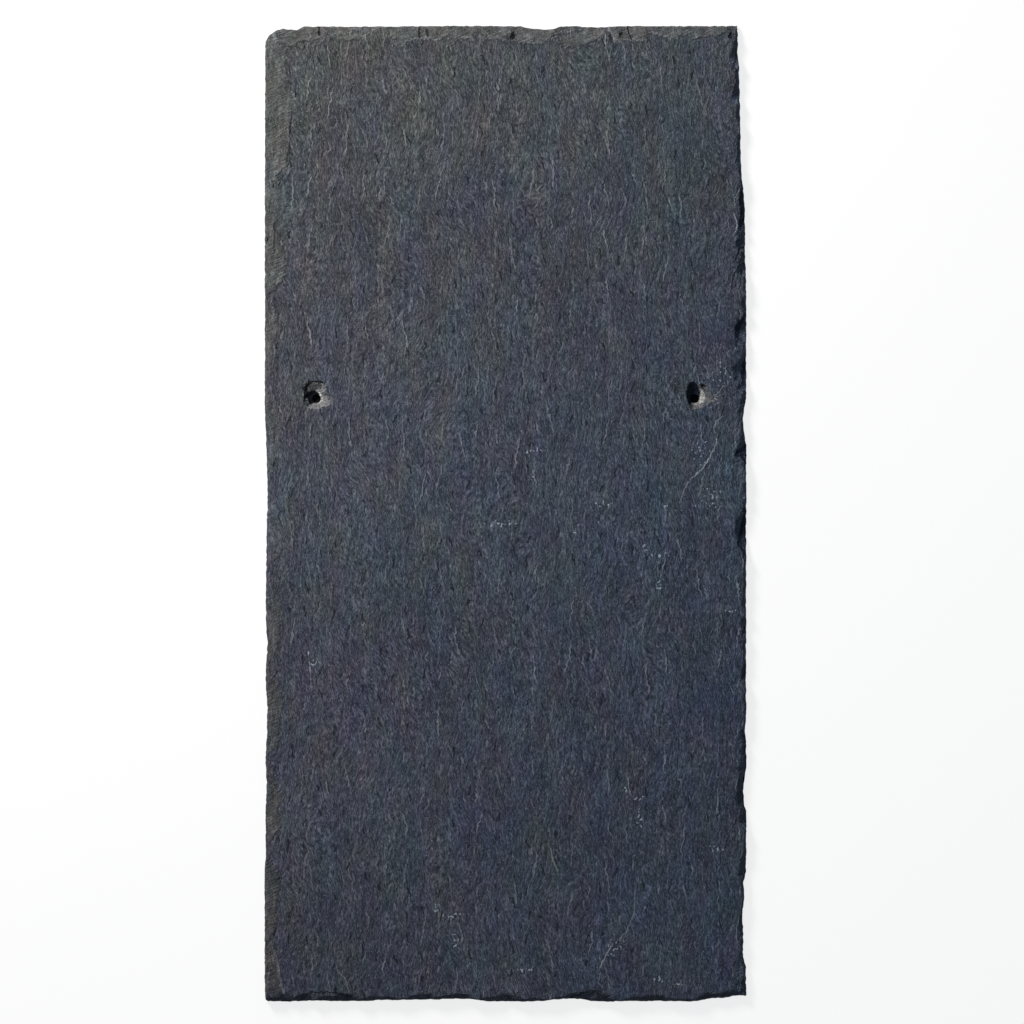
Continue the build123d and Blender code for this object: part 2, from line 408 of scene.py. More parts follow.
# %% All points of the face
grid_numbers = np.arange(plain_grid.shape[0] * plain_grid.shape[1]).reshape(plain_grid.shape[:2])
rings = [rings_round(place) for place in hole_places]
ring_numbers = []
count = grid_numbers.size
for ring in rings:
    ring_numbers.append(np.arange(count, count + ring[..., 0].size).reshape(ring.shape[:2]))
    count += ring_numbers[-1].size
ring_places = [ring.reshape(-1, 2) for ring in rings]
face_plain = np.vstack([plain_grid.reshape(-1, 2)] + ring_places)
face_places = np.vstack([face_grid.reshape(-1, 2)] + ring_places)

from_sides = np.minimum(u_lines, 1 - u_lines)[:, None] * size[0]
from_ends = np.minimum(v_lines, 1 - v_lines)[None, :] * size[1]
edge_inset = np.full(count, edge_band)
edge_inset[: grid_numbers.size] = np.minimum(from_sides, from_ends).ravel()
from_holes = np.array([np.hypot(*(face_plain - place).T) for place in hole_places])
from_hole = from_holes.min(axis=0)
inset = np.minimum(edge_inset, np.clip(from_hole - hole_radius, 0, None))
solid_heights = dropped_heights(pushed(face_plain, inset))
missed = solid_heights > 1.5 * thickness
solid_heights[missed] = solid_heights[~missed].min()
print("net points", count, "missed", int(missed.sum()))
print("heights from", round(solid_heights.min() / MM, 2), "to", round(solid_heights.max() / MM, 2), "mm")

# %% [markdown]
# Now the relief. Riven slate is a stack of skins: where one skin ends there is a tiny step, so the face is
# terraced. A stretched noise is cut into levels, and each level is a flat with a short steep rise. A
# broken edge is the same stack seen in section: its height is pulled to the nearest layer, and roughened.

# %% Relief of the riven face
skin_step = 0.10 * MM
fibre_depth = 0.07 * MM
wave_depth = 0.16 * MM
layer_depth = 0.7 * MM
layer_pull = 0.45
break_roughness = 0.28 * MM


def terraces(value, sharpness):
    """Levels of a value: its whole part, plus a rise that takes the last share 1 / sharpness of each."""
    whole = np.floor(value)
    return whole + smooth_step(value - whole, 1 - 1 / sharpness, 1)


def riven_relief(x, y):
    """Depth under the highest skin: terraces of a long noise, plus low ridges that follow the fibres, plus
    a slow wave. Every part is at least nothing, so the face never stands out of its box."""
    across = x + 5 * MM * patches(x, y, 60, 60, 5)
    skins = patches(across, y, 9, 38, 61, 4, 0.55)
    fibres = patches(across, y, 3.6, 16, 83, 2)
    wave = patches(x, y, 70, 90, 97)
    steps = skin_step * terraces(2.8 * (skins + 1.2), 3)
    return steps + fibre_depth * (fibres + 0.8) + wave_depth * (wave + 0.7)


def broken_relief(x, y, height):
    """Change of height of broken stone: a pull towards layers, and a roughness of three sizes."""
    lift = height / layer_depth + 0.8 * patches(x, y, 14, 14, 131)
    pull = (terraces(lift, 2.5) - lift) * layer_depth
    rough = patches(x, y, 2.4, 3.2, 151, 3, 0.6)
    return layer_pull * pull + break_roughness * rough


# %% Heights of the face
floor_height = 0.9 * MM
rim_width = 0.8 * MM
break_starts, break_full = 0.02 * MM, 0.14 * MM
crater_fades, crater_ends = 9.5 * MM, 12 * MM
smoother_crush = 0.35
smoother_break = 0.7
x, y = face_places.T
lost = thickness - solid_heights
broken = smooth_step(lost, break_starts, break_full)
crushed = broken * (1 - smooth_step(from_hole, crater_fades, crater_ends))
rim_fade = np.clip(inset / rim_width, 0, 1)
relief = riven_relief(x, y)
relief = relief - relief.min()
roughness = broken_relief(x, y, solid_heights) * broken * rim_fade * (1 - smoother_crush * crushed)
depth = relief * (1 - smoother_break * broken) * np.maximum(rim_fade, 1 - broken)
face_heights = np.clip(solid_heights - depth + roughness, floor_height, thickness)
print("relief up to", round(relief.max() / MM, 2), "mm")

# %% [markdown]
# The sides and the bed close the shape. The sides are short rough walls under the broken bevel. The bed
# lies on the next slates and is hardly seen, so its grid keeps only every fourth line, and a zip joins
# that coarse grid to the fine border. The holes go through as rough round walls.

# %% Walls
wall_rows = 4
side_roughness = 0.30 * MM
bore_roughness = 0.12 * MM
border = grid_numbers[loop_round(0, across_cells, 0, along_cells)]
border_turn = bearing(face_places[border] / size[:2])


def wall_rings(line, heights, inward, depth, seed):
    """Rings from the top of a wall down to the bed. A row lies at height = top * (1 - row / rows), drawn
    inward by a noise that runs along the wall and changes from row to row."""
    length = np.concatenate([[0], np.cumsum(np.hypot(*np.diff(line, axis=0).T))])
    ends = np.clip(np.minimum(length, length[-1] - length) / (3 * MM), 0, 1)
    places, levels = [], []
    for row in range(1, wall_rows + 1):
        rough = layered_noise(length / (3 * MM), np.full(len(length), row * 0.7), seed, 2, 0.5)
        draw = depth * np.clip(0.4 + rough, 0, 1) * ends
        places.append(line + inward * draw[:, None])
        levels.append(heights * (1 - row / wall_rows))
    return np.array(places), np.array(levels)


all_places = [face_places]
all_heights = [face_heights]
quad_faces = []
triangle_faces = []


def add_points(places, heights):
    """Adds a grid of points to the surface and gives their numbers."""
    start = sum(len(part) for part in all_places)
    all_places.append(places.reshape(-1, 2))
    all_heights.append(heights.ravel())
    return np.arange(start, start + heights.size).reshape(heights.shape)


inward = -face_places[border] / high[:2]
side_numbers = add_points(*wall_rings(face_places[border], face_heights[border], inward, side_roughness, 211))
quad_faces.append(quads(np.vstack([border[None], side_numbers]), closed=True).reshape(-1, 4))
print("border points", len(border))

# %% The face round its openings
face_opening = patch_radius + 1.3 * MM
stays, face_loops = openings(u_lines, v_lines, face_opening)
quad_faces.append(quads(grid_numbers)[stays])
for place, numbers, loop in zip(hole_places, ring_numbers, face_loops):
    quad_faces.append(quads(numbers, closed=True).reshape(-1, 4))
    outer, inner = grid_numbers[loop], numbers[-1]
    turns = bearing(face_places[outer], place), bearing(face_places[inner], place)
    triangle_faces.append(zipped(outer, inner, *turns))
print("face cells", int(stays.sum()))

# %% The bed
bed_every = 4
bed_opening = 7 * MM
bed_u, bed_v = np.arange(bed_every, across_cells, bed_every), np.arange(bed_every, along_cells, bed_every)
bed_grid = face_grid[bed_u][:, bed_v]


def bed_height(x, y):
    """The bed is riven too, but only upwards, so that it still lies flat: the same skins, read elsewhere."""
    skins = patches(x, y, 12, 40, 307, 3, 0.55)
    return skin_step * np.clip(terraces(3 * (skins + 0.2), 3), 0, 3)


bed_numbers = add_points(bed_grid, bed_height(bed_grid[..., 0], bed_grid[..., 1]))
bed_stays, bed_loops = openings(u_lines[bed_u], v_lines[bed_v], bed_opening)
quad_faces.append(quads(bed_numbers)[bed_stays][:, ::-1])
bed_rim = loop_round(0, len(bed_u) - 1, 0, len(bed_v) - 1)
bed_turn = bearing(bed_grid[bed_rim] / size[:2])
triangle_faces.append(zipped(side_numbers[-1], bed_numbers[bed_rim], border_turn, bed_turn)[:, ::-1])
print("bed cells", int(bed_stays.sum()))

# %% The bores
for place, numbers, loop in zip(hole_places, ring_numbers, bed_loops):
    top = face_places[numbers[0]]
    outward = (top - place) / hole_radius
    bore_places, bore_heights = wall_rings(top, face_heights[numbers[0]], outward, bore_roughness, 401)
    bore_numbers = add_points(bore_places, bore_heights)
    quad_faces.append(quads(np.vstack([numbers[:1], bore_numbers]), closed=True).reshape(-1, 4)[:, ::-1])
    turns = bearing(bed_grid[loop], place), bearing(bore_places[-1], place)
    triangle_faces.append(zipped(bed_numbers[loop], bore_numbers[-1], *turns)[:, ::-1])
print("bore walls", len(hole_places))

# %% [markdown]
# Some marks on the slate have their own places. They are pale scratches, rims where a break ends at the face,
# drawn with a pale line that is a painted highlight, gashes painted dark as painted shade, the scars of the
# right side painted dark navy as painted shade, two chips at the tail's left corner, and clusters of small
# bruises where something has knocked the stone. They are too fine for the mesh, but a distance to a line
# changes evenly from point to point, so a coarse mesh carries it well. The signed distance to the nearest
# line of a kind goes in as an attribute, and the material draws a sharp line where it is zero.

# %% Pale scratches
# Each line is its strength and its points in millimetres.
scratches = [
    (0.7, [(111.9, 50.0), (107.3, 47.4), (106.5, 41.3)]),
    (1.0, [(107.3, 39.8), (107.8, 36.7), (106.8, 33.6), (104.2, 28.5), (101.1, 23.4), (94.5, 17.2)]),
    (0.5, [(94.0, 17.2), (92.4, 14.2), (89.9, 8.0), (88.9, 4.9)]),
    (0.45, [(66.3, -190.7), (65.8, -204.0), (62.2, -213.2), (56.6, -218.9)]),
    (0.85, [(55.1, -219.9), (52.0, -224.5), (49.9, -228.6), (47.9, -233.2)]),
    (0.4, [(47.6, -234.2), (48.4, -236.8), (47.4, -239.9), (50.4, -242.9)]),
    (0.9, [(-116.7, -229.0), (-115.8, -232.7), (-115.0, -239.1), (-114.1, -242.1), (-113.0, -246.0)]),
    (0.4, [(-86.8, -230.6), (-85.7, -234.5), (-82.2, -237.4), (-80.5, -242.1), (-79.8, -246.5)]),
    (0.7, [(120.1, -228.1), (117.5, -232.9), (115.7, -236.8)]),
    (0.5, [(85.3, -240.5), (91.4, -240.9)]),
    (0.4, [(124.2, -245.2), (120.1, -245.6), (115.5, -245.1)]),
    (0.35, [(122.1, 4.4), (120.6, -1.2), (119.1, -7.3)]),
    (0.9, [(94.0, 54.6), (99.6, 54.1), (102.2, 55.7), (104.5, 57.6), (106.9, 58.6), (109.3, 58.4)]),
    (0.6, [(106.9, 55.1), (109.0, 57.8)]),
    (0.55, [(105.4, 60.9), (107.8, 60.7), (109.0, 62.4), (110.7, 64.7), (113.4, 65.6)]),
    (1.2, [(116.5, 154.0), (117.5, 151.4), (118.2, 148.3), (118.3, 144.2)]),
    (0.9, [(118.6, 75.1), (119.1, 71.5), (119.6, 66.9)]),
    (1.0, [(121.4, -56.8), (120.4, -58.1), (119.1, -59.8)]),
    (0.8, [(121.4, -22.2), (121.9, -24.8), (122.2, -28.3)]),
]

# %% Rims of breaks, drawn with a painted highlight
# A rim has the broken stone on its left hand.
lit_rims = [
    (0.8, [(-98.6, 239.0), (-93.2, 242.2), (-88.5, 244.6), (-79.3, 246.9), (-72.5, 249.2)]),
    (0.7, [(-74.0, 240.0), (-71.1, 244.6), (-64.8, 248.1), (-58.6, 250.3)]),
    (0.9, [(-55.1, 237.5), (-52.0, 241.1), (-47.4, 242.8), (-38.9, 243.1), (-32.5, 241.6)]),
    (0.8, [(-29.4, 238.5), (-26.2, 242.2), (-21.5, 243.4), (-15.1, 242.3)]),
    (0.8, [(-12.5, 239.5), (-10.9, 243.4), (-5.8, 244.0), (0.8, 241.8)]),
    (1.0, [(2.3, 241.6), (9.8, 241.3), (18.5, 241.1), (23.2, 243.4), (30.2, 246.9), (39.2, 248.7)]),
    (0.9, [(51.5, 250.8), (55.8, 241.5), (63.6, 242.5), (73.0, 242.1)]),
    (0.8, [(74.0, 246.7), (78.1, 244.9), (83.1, 243.4), (88.3, 244.1), (95.5, 247.7)]),
    (0.5, [(-111.9, 179.6), (-111.1, 193.4), (-111.1, 201.6), (-109.9, 204.7), (-106.8, 207.7),
           (-106.5, 210.8), (-107.8, 213.9), (-110.9, 216.5)]),
    (0.4, [(-118.8, 133.0), (-119.3, 140.1), (-118.8, 148.3), (-117.8, 153.5), (-117.3, 157.6),
           (-117.0, 165.8)]),
    (0.5, [(-110.9, -250.1), (-112.4, -246.5), (-114.7, -242.6), (-114.7, -239.1), (-116.4, -232.7),
           (-117.0, -227.1), (-119.1, -222.4), (-119.6, -218.4)]),
]

# %% Gashes, painted dark as painted shade
# Where two gashes run side by side, one is walked the other way, so that they turn the same side to each
# other and the distance doesn't change sign there.
shaded_gashes = [
    (1.0, [(-95.5, 250.3), (-95.3, 247.2), (-94.7, 243.6)]),
    (0.9, [(-43.6, 242.1), (-44.1, 246.2), (-43.8, 250.8)]),
    (0.8, [(-39.5, 248.5), (-39.8, 246.2), (-39.5, 242.6)]),
    (0.8, [(52.8, 247.2), (55.1, 240.5)]),
    (0.9, [(64.8, 241.0), (63.2, 245.6), (62.6, 249.7)]),
    (1.6, [(-92.4, 66.9), (-97.1, 67.1), (-100.5, 67.0), (-101.5, 65.4), (-102.2, 62.8), (-102.7, 59.0),
           (-103.2, 56.2)]),
    (0.7, [(-108.1, 217.5), (-106.3, 211.8)]),
    (0.8, [(-108.6, 203.7), (-109.9, 198.5), (-110.1, 192.4)]),
    (0.7, [(-110.1, 188.8), (-110.6, 185.2), (-111.9, 179.1)]),
    (0.7, [(-117.8, 149.4), (-117.9, 142.2), (-118.5, 137.1), (-118.3, 132.0)]),
    (0.8, [(-103.2, -246.8), (-97.9, -244.7), (-93.2, -245.2), (-90.9, -244.7), (-85.1, -245.5),
           (-77.6, -247.0)]),
    (0.6, [(34.6, -246.8), (43.3, -243.9), (50.4, -245.2)]),
    (0.9, [(123.7, 137.6), (120.1, 135.5), (119.1, 133.0), (117.5, 129.9), (116.3, 127.6)]),
    (0.9, [(123.2, 129.4), (119.1, 126.3), (117.0, 122.2), (116.0, 119.7), (115.5, 113.5)]),
    (0.8, [(121.1, 125.8), (120.5, 120.2), (119.6, 114.0)]),
    (0.5, [(117.2, 28.5), (116.8, 24.4), (116.5, 18.3)]),
]

# %% Scars, painted dark as painted shade, and chips
# Each is walked round anticlockwise.
shaded_scars = [
    [(117.5, 238.2), (117.3, 234.9), (116.8, 231.8), (115.7, 228.7), (115.0, 225.9), (116.0, 226.4),
     (117.8, 229.8), (118.6, 232.8), (118.8, 238.0)],
    [(120.6, 173.9), (119.8, 167.8), (119.4, 164.2), (119.3, 159.6), (119.6, 154.5), (119.2, 149.4),
     (118.6, 145.3), (118.0, 141.2), (119.3, 143.2), (120.9, 146.3), (121.9, 148.9), (124.7, 150.9),
     (124.7, 165.8), (121.4, 167.8), (121.0, 172.9)],
    [(122.9, 106.3), (121.6, 101.2), (119.6, 98.7), (117.7, 97.1), (117.1, 94.1), (116.7, 91.5),
     (117.0, 87.9), (117.5, 83.8), (118.6, 85.9), (119.3, 90.0), (120.1, 93.5), (121.6, 96.4),
     (122.7, 100.7), (124.7, 104.3), (124.7, 106.3)],
    [(122.9, 85.3), (122.3, 80.7), (121.8, 78.7), (121.0, 76.1), (120.6, 73.1), (120.3, 70.5),
     (119.8, 67.9), (119.4, 65.9), (118.3, 64.4), (116.2, 62.1), (117.5, 62.6), (119.6, 63.6),
     (121.6, 64.9), (124.7, 66.4), (124.7, 85.3)],
    [(123.2, 36.2), (121.6, 34.9), (119.6, 33.1), (117.5, 31.6), (116.4, 29.8), (118.0, 29.1),
     (120.1, 28.8), (121.4, 27.0), (122.3, 23.4), (122.7, 18.8), (124.7, 18.8), (124.7, 36.2)],
    [(123.2, 5.5), (122.1, 3.4), (121.6, 0.3), (120.6, -4.3), (119.7, -7.3), (119.1, -10.4),
     (118.2, -14.0), (118.3, -16.1), (119.6, -17.6), (120.9, -19.6), (121.6, -22.7), (122.1, -25.3),
     (124.7, -25.8), (124.7, 5.5)],
    [(123.2, -52.9), (122.4, -57.5), (121.1, -59.6), (120.4, -62.1), (119.7, -64.5), (121.1, -63.2),
     (122.4, -60.6), (124.7, -58.6), (124.7, -52.9)],
    [(122.4, -77.0), (121.4, -80.6), (120.4, -84.2), (118.8, -87.2), (120.6, -86.0), (122.1, -83.7),
     (124.7, -82.1), (124.7, -77.0)],
    [(120.1, -109.3), (120.9, -112.3), (121.9, -115.9), (122.4, -121.0), (122.4, -128.7),
     (122.7, -132.8), (120.4, -136.2), (120.4, -137.9), (122.7, -136.9), (124.7, -136.9),
     (124.7, -116.9), (122.7, -114.9), (121.6, -112.3), (120.6, -109.3)],
]
chips = [
    [(-124.7, -250.1), (-111.9, -249.1), (-114.0, -242.9), (-115.0, -239.1), (-115.8, -232.7),
     (-117.5, -224.5), (-119.6, -218.9), (-124.7, -219.9)],
    [(-123.2, -239.3), (-123.2, -248.6), (-116.0, -248.6), (-116.5, -244.0), (-119.1, -236.8)],
]

# %% Bruises
# Each is its place, its half width across and along the slate, both in millimetres, and its strength.
bruises = np.array([
    (110.5, 71.0, 6.0, 6.5, 0.55),
    (12.5, 32.1, 6.5, 1.2, 1.0), (14.6, 17.2, 0.9, 5.0, 0.8), (-3.3, -5.3, 8.0, 1.4, 0.9),
    (51.2, 5.0, 4.4, 1.5, 0.9), (48.0, -5.8, 0.9, 2.2, 0.9), (38.0, -6.6, 1.4, 1.3, 0.9),
    (35.4, -9.2, 2.4, 0.8, 0.7), (43.0, -10.6, 1.0, 1.2, 0.8), (22.6, 0.0, 4.0, 0.8, 0.7),
    (70.9, -17.3, 1.1, 2.0, 1.0), (78.0, -21.5, 6.5, 1.2, 1.0), (79.1, -36.5, 1.3, 4.4, 0.9),
    (82.3, 3.2, 1.0, 1.8, 0.8), (96.6, 2.8, 1.1, 2.2, 0.9), (-12.6, -8.2, 1.8, 0.8, 0.7),
    (114.5, -49.3, 3.4, 1.2, 1.0), (60.6, -141.6, 1.2, 2.6, 1.0), (68.0, -145.4, 5.0, 1.0, 1.0),
    (68.6, -156.0, 1.3, 5.4, 0.9), (-37.0, -168.0, 4.6, 0.8, 0.7), (-35.2, -201.6, 1.1, 3.0, 0.9),
    (-27.4, -205.6, 5.4, 1.1, 1.0), (-25.4, -220.0, 1.2, 5.0, 0.9), (10.0, -233.2, 4.6, 1.3, 1.0),
    (88.0, -240.5, 3.4, 0.7, 0.9), (-98.0, -78.0, 3.0, 4.0, 0.5), (-101.0, -71.0, 2.2, 0.9, 0.8),
    (78.1, -238.3, 4.4, 1.5, 0.9), (106.3, -171.7, 4.4, 1.5, 0.9), (100.0, 32.0, 5.0, 7.0, 0.5),
    (106.0, 8.0, 5.0, 6.0, 0.5), (56.0, -222.0, 5.0, 6.0, 0.5), (-110.1, -240.6, 1.2, 0.6, 1.0),
    (96.8, -248.0, 0.8, 0.6, 1.0), (-119.0, -233.0, 3.0, 1.0, 0.7), (118.0, 147.0, 0.7, 3.4, 0.8),
    (119.2, 70.5, 0.7, 3.0, 0.8), (122.4, 7.4, 0.7, 1.4, 0.9),
])

# %% Distances to the placed marks
far_off = 9.0


def beside_lines(x, y, lines):
    """The signed distance in millimetres to the nearest of some lines, plus on its left hand, and the
    strength there. For each straight piece, the cross product of its direction with the way from its start
    is the distance. The strength fades from 1.8 to 3 mm beside a line, and over its last 1.5 mm if it is
    open."""
    side, strength = np.full(len(x), far_off), np.zeros(len(x))
    for own_strength, line in lines:
        is_open = line[0] != line[-1]
        corners = np.array(line)
        steps = np.diff(corners, axis=0)
        lengths = np.hypot(*steps.T)
        begun = np.cumsum(lengths) - lengths
        for start, step, length, before in zip(corners, steps, lengths, begun):
            way_x, way_y = x / MM - start[0], y / MM - start[1]
            along = (way_x * step[0] + way_y * step[1]) / length
            across = (way_y * step[0] - way_x * step[1]) / length
            far = np.hypot(across, np.maximum(np.maximum(-along, along - length), 0))
            run = before + np.clip(along, 0, length)
            left = np.minimum(run, lengths.sum() - run) if is_open else far_off
            nearer = far < np.abs(side)
            side = np.where(nearer, np.copysign(far, across), side)
            own = own_strength * smooth_step(left, 0, 1.5) * (1 - smooth_step(far, 1.8, 3.0))
            strength = np.where(nearer, own, strength)
    return side, strength


def closed(loops):
    """Loops as lines of full strength that end where they start."""
    return [(1.0, loop + loop[:1]) for loop in loops]


def knocked(x, y):
    """Each bruise's strength in its middle, falling to nothing at twice its half widths, as exp(-r^2)."""
    field = np.zeros(len(x))
    for cx, cy, rx, ry, strength in bruises:
        way_across, way_along = (x / MM - cx) / rx, (y / MM - cy) / ry
        field = np.maximum(field, strength * np.exp(-(way_across**2) - way_along**2))
    return field


points = np.column_stack([np.vstack(all_places), np.concatenate(all_heights)])
x, y = points[:, 0], points[:, 1]
placed_lines = {
    "scratch": beside_lines(x, y, scratches),
    "rim": beside_lines(x, y, lit_rims),
    "gash": beside_lines(x, y, shaded_gashes),
    "scar_shade": beside_lines(x, y, closed(shaded_scars)),
}
for name, (side, strength) in placed_lines.items():
    print("points beside a", name, int((strength > 0).sum()))

# %% [markdown]
# Hairlines are where a skin ends: a line a few millimetres to two centimetres long that runs along the slate
# with some lean. Its colour is painted light and shade: a pale line is a painted highlight, where the skin's
# edge would catch the lamp, and a dark slit is painted shade, where the edge faces away. There are many
# hundreds, so they are strewn by rule and not placed by hand. The slate is cut into tall cells, in staggered
# columns. Random numbers for each cell give one line its place, lean, bow, length and strength, and every
# point looks only at the line of its own cell.


# %% Hairlines
def hairlines(x, y, wide, tall, longest, leaning, seed):
    """The signed distance in millimetres to the line of a point's cell, and that line's strength there. The
    line is x = middle + lean * way + bow * (way / half)^2, with way measured along the slate, and a noise
    bends it. The strength fades towards the line's ends, from 1.8 to 2.8 mm beside it, and over the last
    1.5 mm before the cell's border."""
    column = np.floor(x / wide).astype(np.int64)
    stagger = hashed(column, column * 0, seed) * tall
    row = np.floor((y + stagger) / tall).astype(np.int64)
    chance = [hashed(column, row, seed + k) for k in range(1, 6)]
    way = y + stagger - (row + 0.5) * tall
    half = longest / 2 * (0.35 + 0.65 * chance[0])
    lean = leaning * (2 * chance[1] - 1)
    bow = 1.6 * MM * (chance[2] - 0.5)
    middle = (column + 0.5 + 0.3 * (chance[3] - 0.5)) * wide
    bend = 1.3 * MM * patches(x, y, 7, 6, seed + 9)
    side = x - middle - lean * way - bow * (way / half) ** 2 + bend
    ends = 1 - smooth_step(np.abs(way), 0.45 * half, half)
    border = wide / 2 - np.abs(x - (column + 0.5) * wide)
    near = (1 - smooth_step(np.abs(side), 1.8 * MM, 2.8 * MM)) * smooth_step(border, 0, 1.5 * MM)
    return side / MM, ends * near * chance[4] ** 1.5


hairline_kinds = {
    "long": hairlines(x, y, wide=9.5 * MM, tall=25 * MM, longest=23 * MM, leaning=0.26, seed=601),
    "short": hairlines(x, y, wide=6.2 * MM, tall=9.5 * MM, longest=8.5 * MM, leaning=0.38, seed=641),
    "slit_shade": hairlines(x, y, wide=7.6 * MM, tall=12 * MM, longest=8.0 * MM, leaning=0.40, seed=683),
}
for name, (side, strength) in hairline_kinds.items():
    print(name, "hairlines strong on", int((strength > 0.4).sum()), "points")

# %% [markdown]
# Slow drifts of the stone need no fine pattern either, so they go into the points as well: how far the
# fibres wander to the side, patches that are lighter, and how warm or how green the stone is. It is warmer,
# greyer and greener towards the head, darker and bluer towards the right, and darker towards both ends. The
# warming towards the head and the darkening and blueing towards the right are partly painted light and
# painted shade, for the warm lamp at the upper left and the bluish fill away from it. Earth clings to the
# tail's left corner, and the middle of the left side is washed almost clean of dust.

# %% Slow drifts
headward = y / high[1]
rightward = x / high[0]
upper_half = np.clip(headward, 0, 1)
drifts = {
    "wander": 11 * patches(x, y, 55, 75, 701, 2) + 3.2 * patches(x, y, 11, 17, 709),
    "cloud": patches(x, y, 11, 27, 719, 3, 0.6),
    # The warming towards the head and the cooling towards the right are partly painted light and shade.
    "warmth": 0.135 * patches(x, y, 14, 36, 727, 2, 0.6) + 0.15 * upper_half - 0.07 * rightward - 0.05,
    "greenness": 0.15 * patches(x, y, 9, 24, 733, 2, 0.6) + 0.10 * patches(x, y, 34, 60, 739)
    + 0.03 * headward + 0.02 * np.cos(7.85 * headward) + 0.02 * upper_half**2 - 0.012,
    # The darkening towards the right is partly painted shade, away from the lamp.
    "lightness": 0.08 * headward - 0.20 * upper_half - 0.07 * rightward + 0.18 * patches(x, y, 55, 95, 743),
    "headward": headward,
    "earthy": 0.95 * np.exp(-(((x + 124 * MM) / (12 * MM)) ** 2) - ((y + 232 * MM) / (24 * MM)) ** 2),
    "washed": (1 - smooth_step(x / MM, -116, -108)) * np.exp(-(((y - 8 * MM) / (50 * MM)) ** 2)),
}
for name, values in drifts.items():
    print(name, "from", round(values.min(), 2), "to", round(values.max(), 2))

# %% [markdown]
# The breaks differ too. Those along the left side and the head face the lamp: they have grey-green dust in
# them and are painted paler, partly as painted light. Those along the right side and the tail face away from
# it: their paint is lightened to offset the lamp's shade on them, which is painted light, and their scars
# are painted dark as painted shade. In the craters the punch left pale powder on the slopes to the right of
# the hole and under it, painted whiter as painted light, and the wall above it on the left is bare and
# painted dark as painted shade.


# %% Which breaks face the lamp, and where the powder lies
def dusty_lamp_side_breaks(x, y):
    """1 near the left side and the head, which face the lamp, and 0 near the right side and the tail, which
    face
    away: each edge pulls by how near it is, as 1 / (way + 1.5 mm)^2. The right side's share of the two pulls
    of the edges that face away is given too."""
    ways = np.array([x - low[0], high[1] - y, high[0] - x, y - low[1]])
    pulls = 1 / (np.clip(ways, 0, None) + 1.5 * MM) ** 2
    return pulls[:2].sum(axis=0) / pulls.sum(axis=0), pulls[2] / pulls[2:].sum(axis=0)


# Each crater as bearings in degrees round its hole, the radius in millimetres out to which the stone is bare
# and painted dark as painted shade on that bearing, and the radius out to which the powder beyond it is at
# its whitest, a whiteness that is partly painted light. Then come the powder on its slope, the powder added
# on the slope above the hole to offset its shade, which is painted light, and the least powder on its wall.
craters = [
    (np.array([(-180, 4.3, 0.0), (-150, 4.5, 0.0), (-135, 4.4, 0.0), (-120, 2.5, 0.0), (-75, 2.3, 2.6),
               (-45, 2.1, 3.0), (0, 2.1, 3.2), (38, 2.1, 3.2), (55, 2.4, 3.2), (72, 2.9, 3.4),
               (92, 3.3, 0.0), (104, 4.3, 0.0), (120, 4.7, 0.0), (136, 4.6, 0.0), (147, 6.3, 0.0),
               (165, 6.1, 0.0), (180, 4.3, 0.0)]), 0.58, 0.35, 0.0),
    (np.array([(-180, 4.6, 0.0), (-134, 4.6, 0.0), (-122, 2.8, 3.4), (-105, 2.1, 3.2), (-75, 2.0, 3.2),
               (-45, 2.1, 3.4), (-30, 2.1, 4.2), (-15, 2.2, 5.0), (0, 2.3, 5.3), (15, 2.5, 5.4),
               (30, 2.9, 5.5), (45, 4.0, 6.0), (60, 4.9, 6.7), (75, 6.0, 7.5), (84, 7.6, 0.0),
               (92, 8.9, 0.0), (105, 8.6, 0.0), (120, 7.9, 0.0), (135, 7.0, 0.0), (150, 5.1, 0.0),
               (165, 4.6, 0.0), (180, 4.6, 0.0)]), 0.44, 0.0, 0.06),
]


def powder_and_light(x, y):
    """How much pale powder lies in the craters, from 0 on the bare wall, whose colour is painted shade, to 1
    beside it, whose whiteness is partly painted light: on each bearing the two radii are looked up, the value
    rises past the first and settles to the slope's own past the second. The slope is streaked outwards from
    the hole, by a noise that is narrow in bearing and long in radius."""
    field = np.zeros(len(x))
    for place, (table, slope, above, least) in zip(hole_places, craters):
        far = np.hypot(x - place[0], y - place[1]) / MM
        turn = np.degrees(np.arctan2(y - place[1], x - place[0]))
        wander = 0.30 * patches(x, y, 1.6, 1.6, 501, 2, 0.6)
        bare = np.interp(turn, table[:, 0], table[:, 1]) + wander
        white = np.interp(turn, table[:, 0], table[:, 2]) + wander
        value = slope + (0.97 - slope) * (1 - smooth_step(far - white, -0.3, 0.5))
        value = value + 0.30 * layered_noise(turn / 9, far / 4, 523, 2, 0.6)
        # Above the left hole the powder is raised to offset the shade of that slope: painted light.
        value = value + above * np.exp(-(((turn - 80) / 30) ** 2))
        value = np.clip(value, 0.2, 1) * smooth_step(far - bare, -0.25, 0.35)
        value = np.maximum(value, least)
        field = np.where(far < patch_radius / MM, value, field)
    return field


# This mask is 1 on the breaks of the left side and the head, which face the lamp, and 0 on those of the right
# side and the tail, which face away. The breaks on the lamp side are painted paler, partly as painted light,
# and the others are painted lighter to offset their shade, also painted light.
dusty_lamp_side, of_right_side = dusty_lamp_side_breaks(x, y)
print("old breaks on", int((dusty_lamp_side > 0.5).sum()), "points")

# %% [markdown]
# All parts of the surface share their border points, so the mesh is closed as it is built. The masks go in
# as attributes, which the material reads.


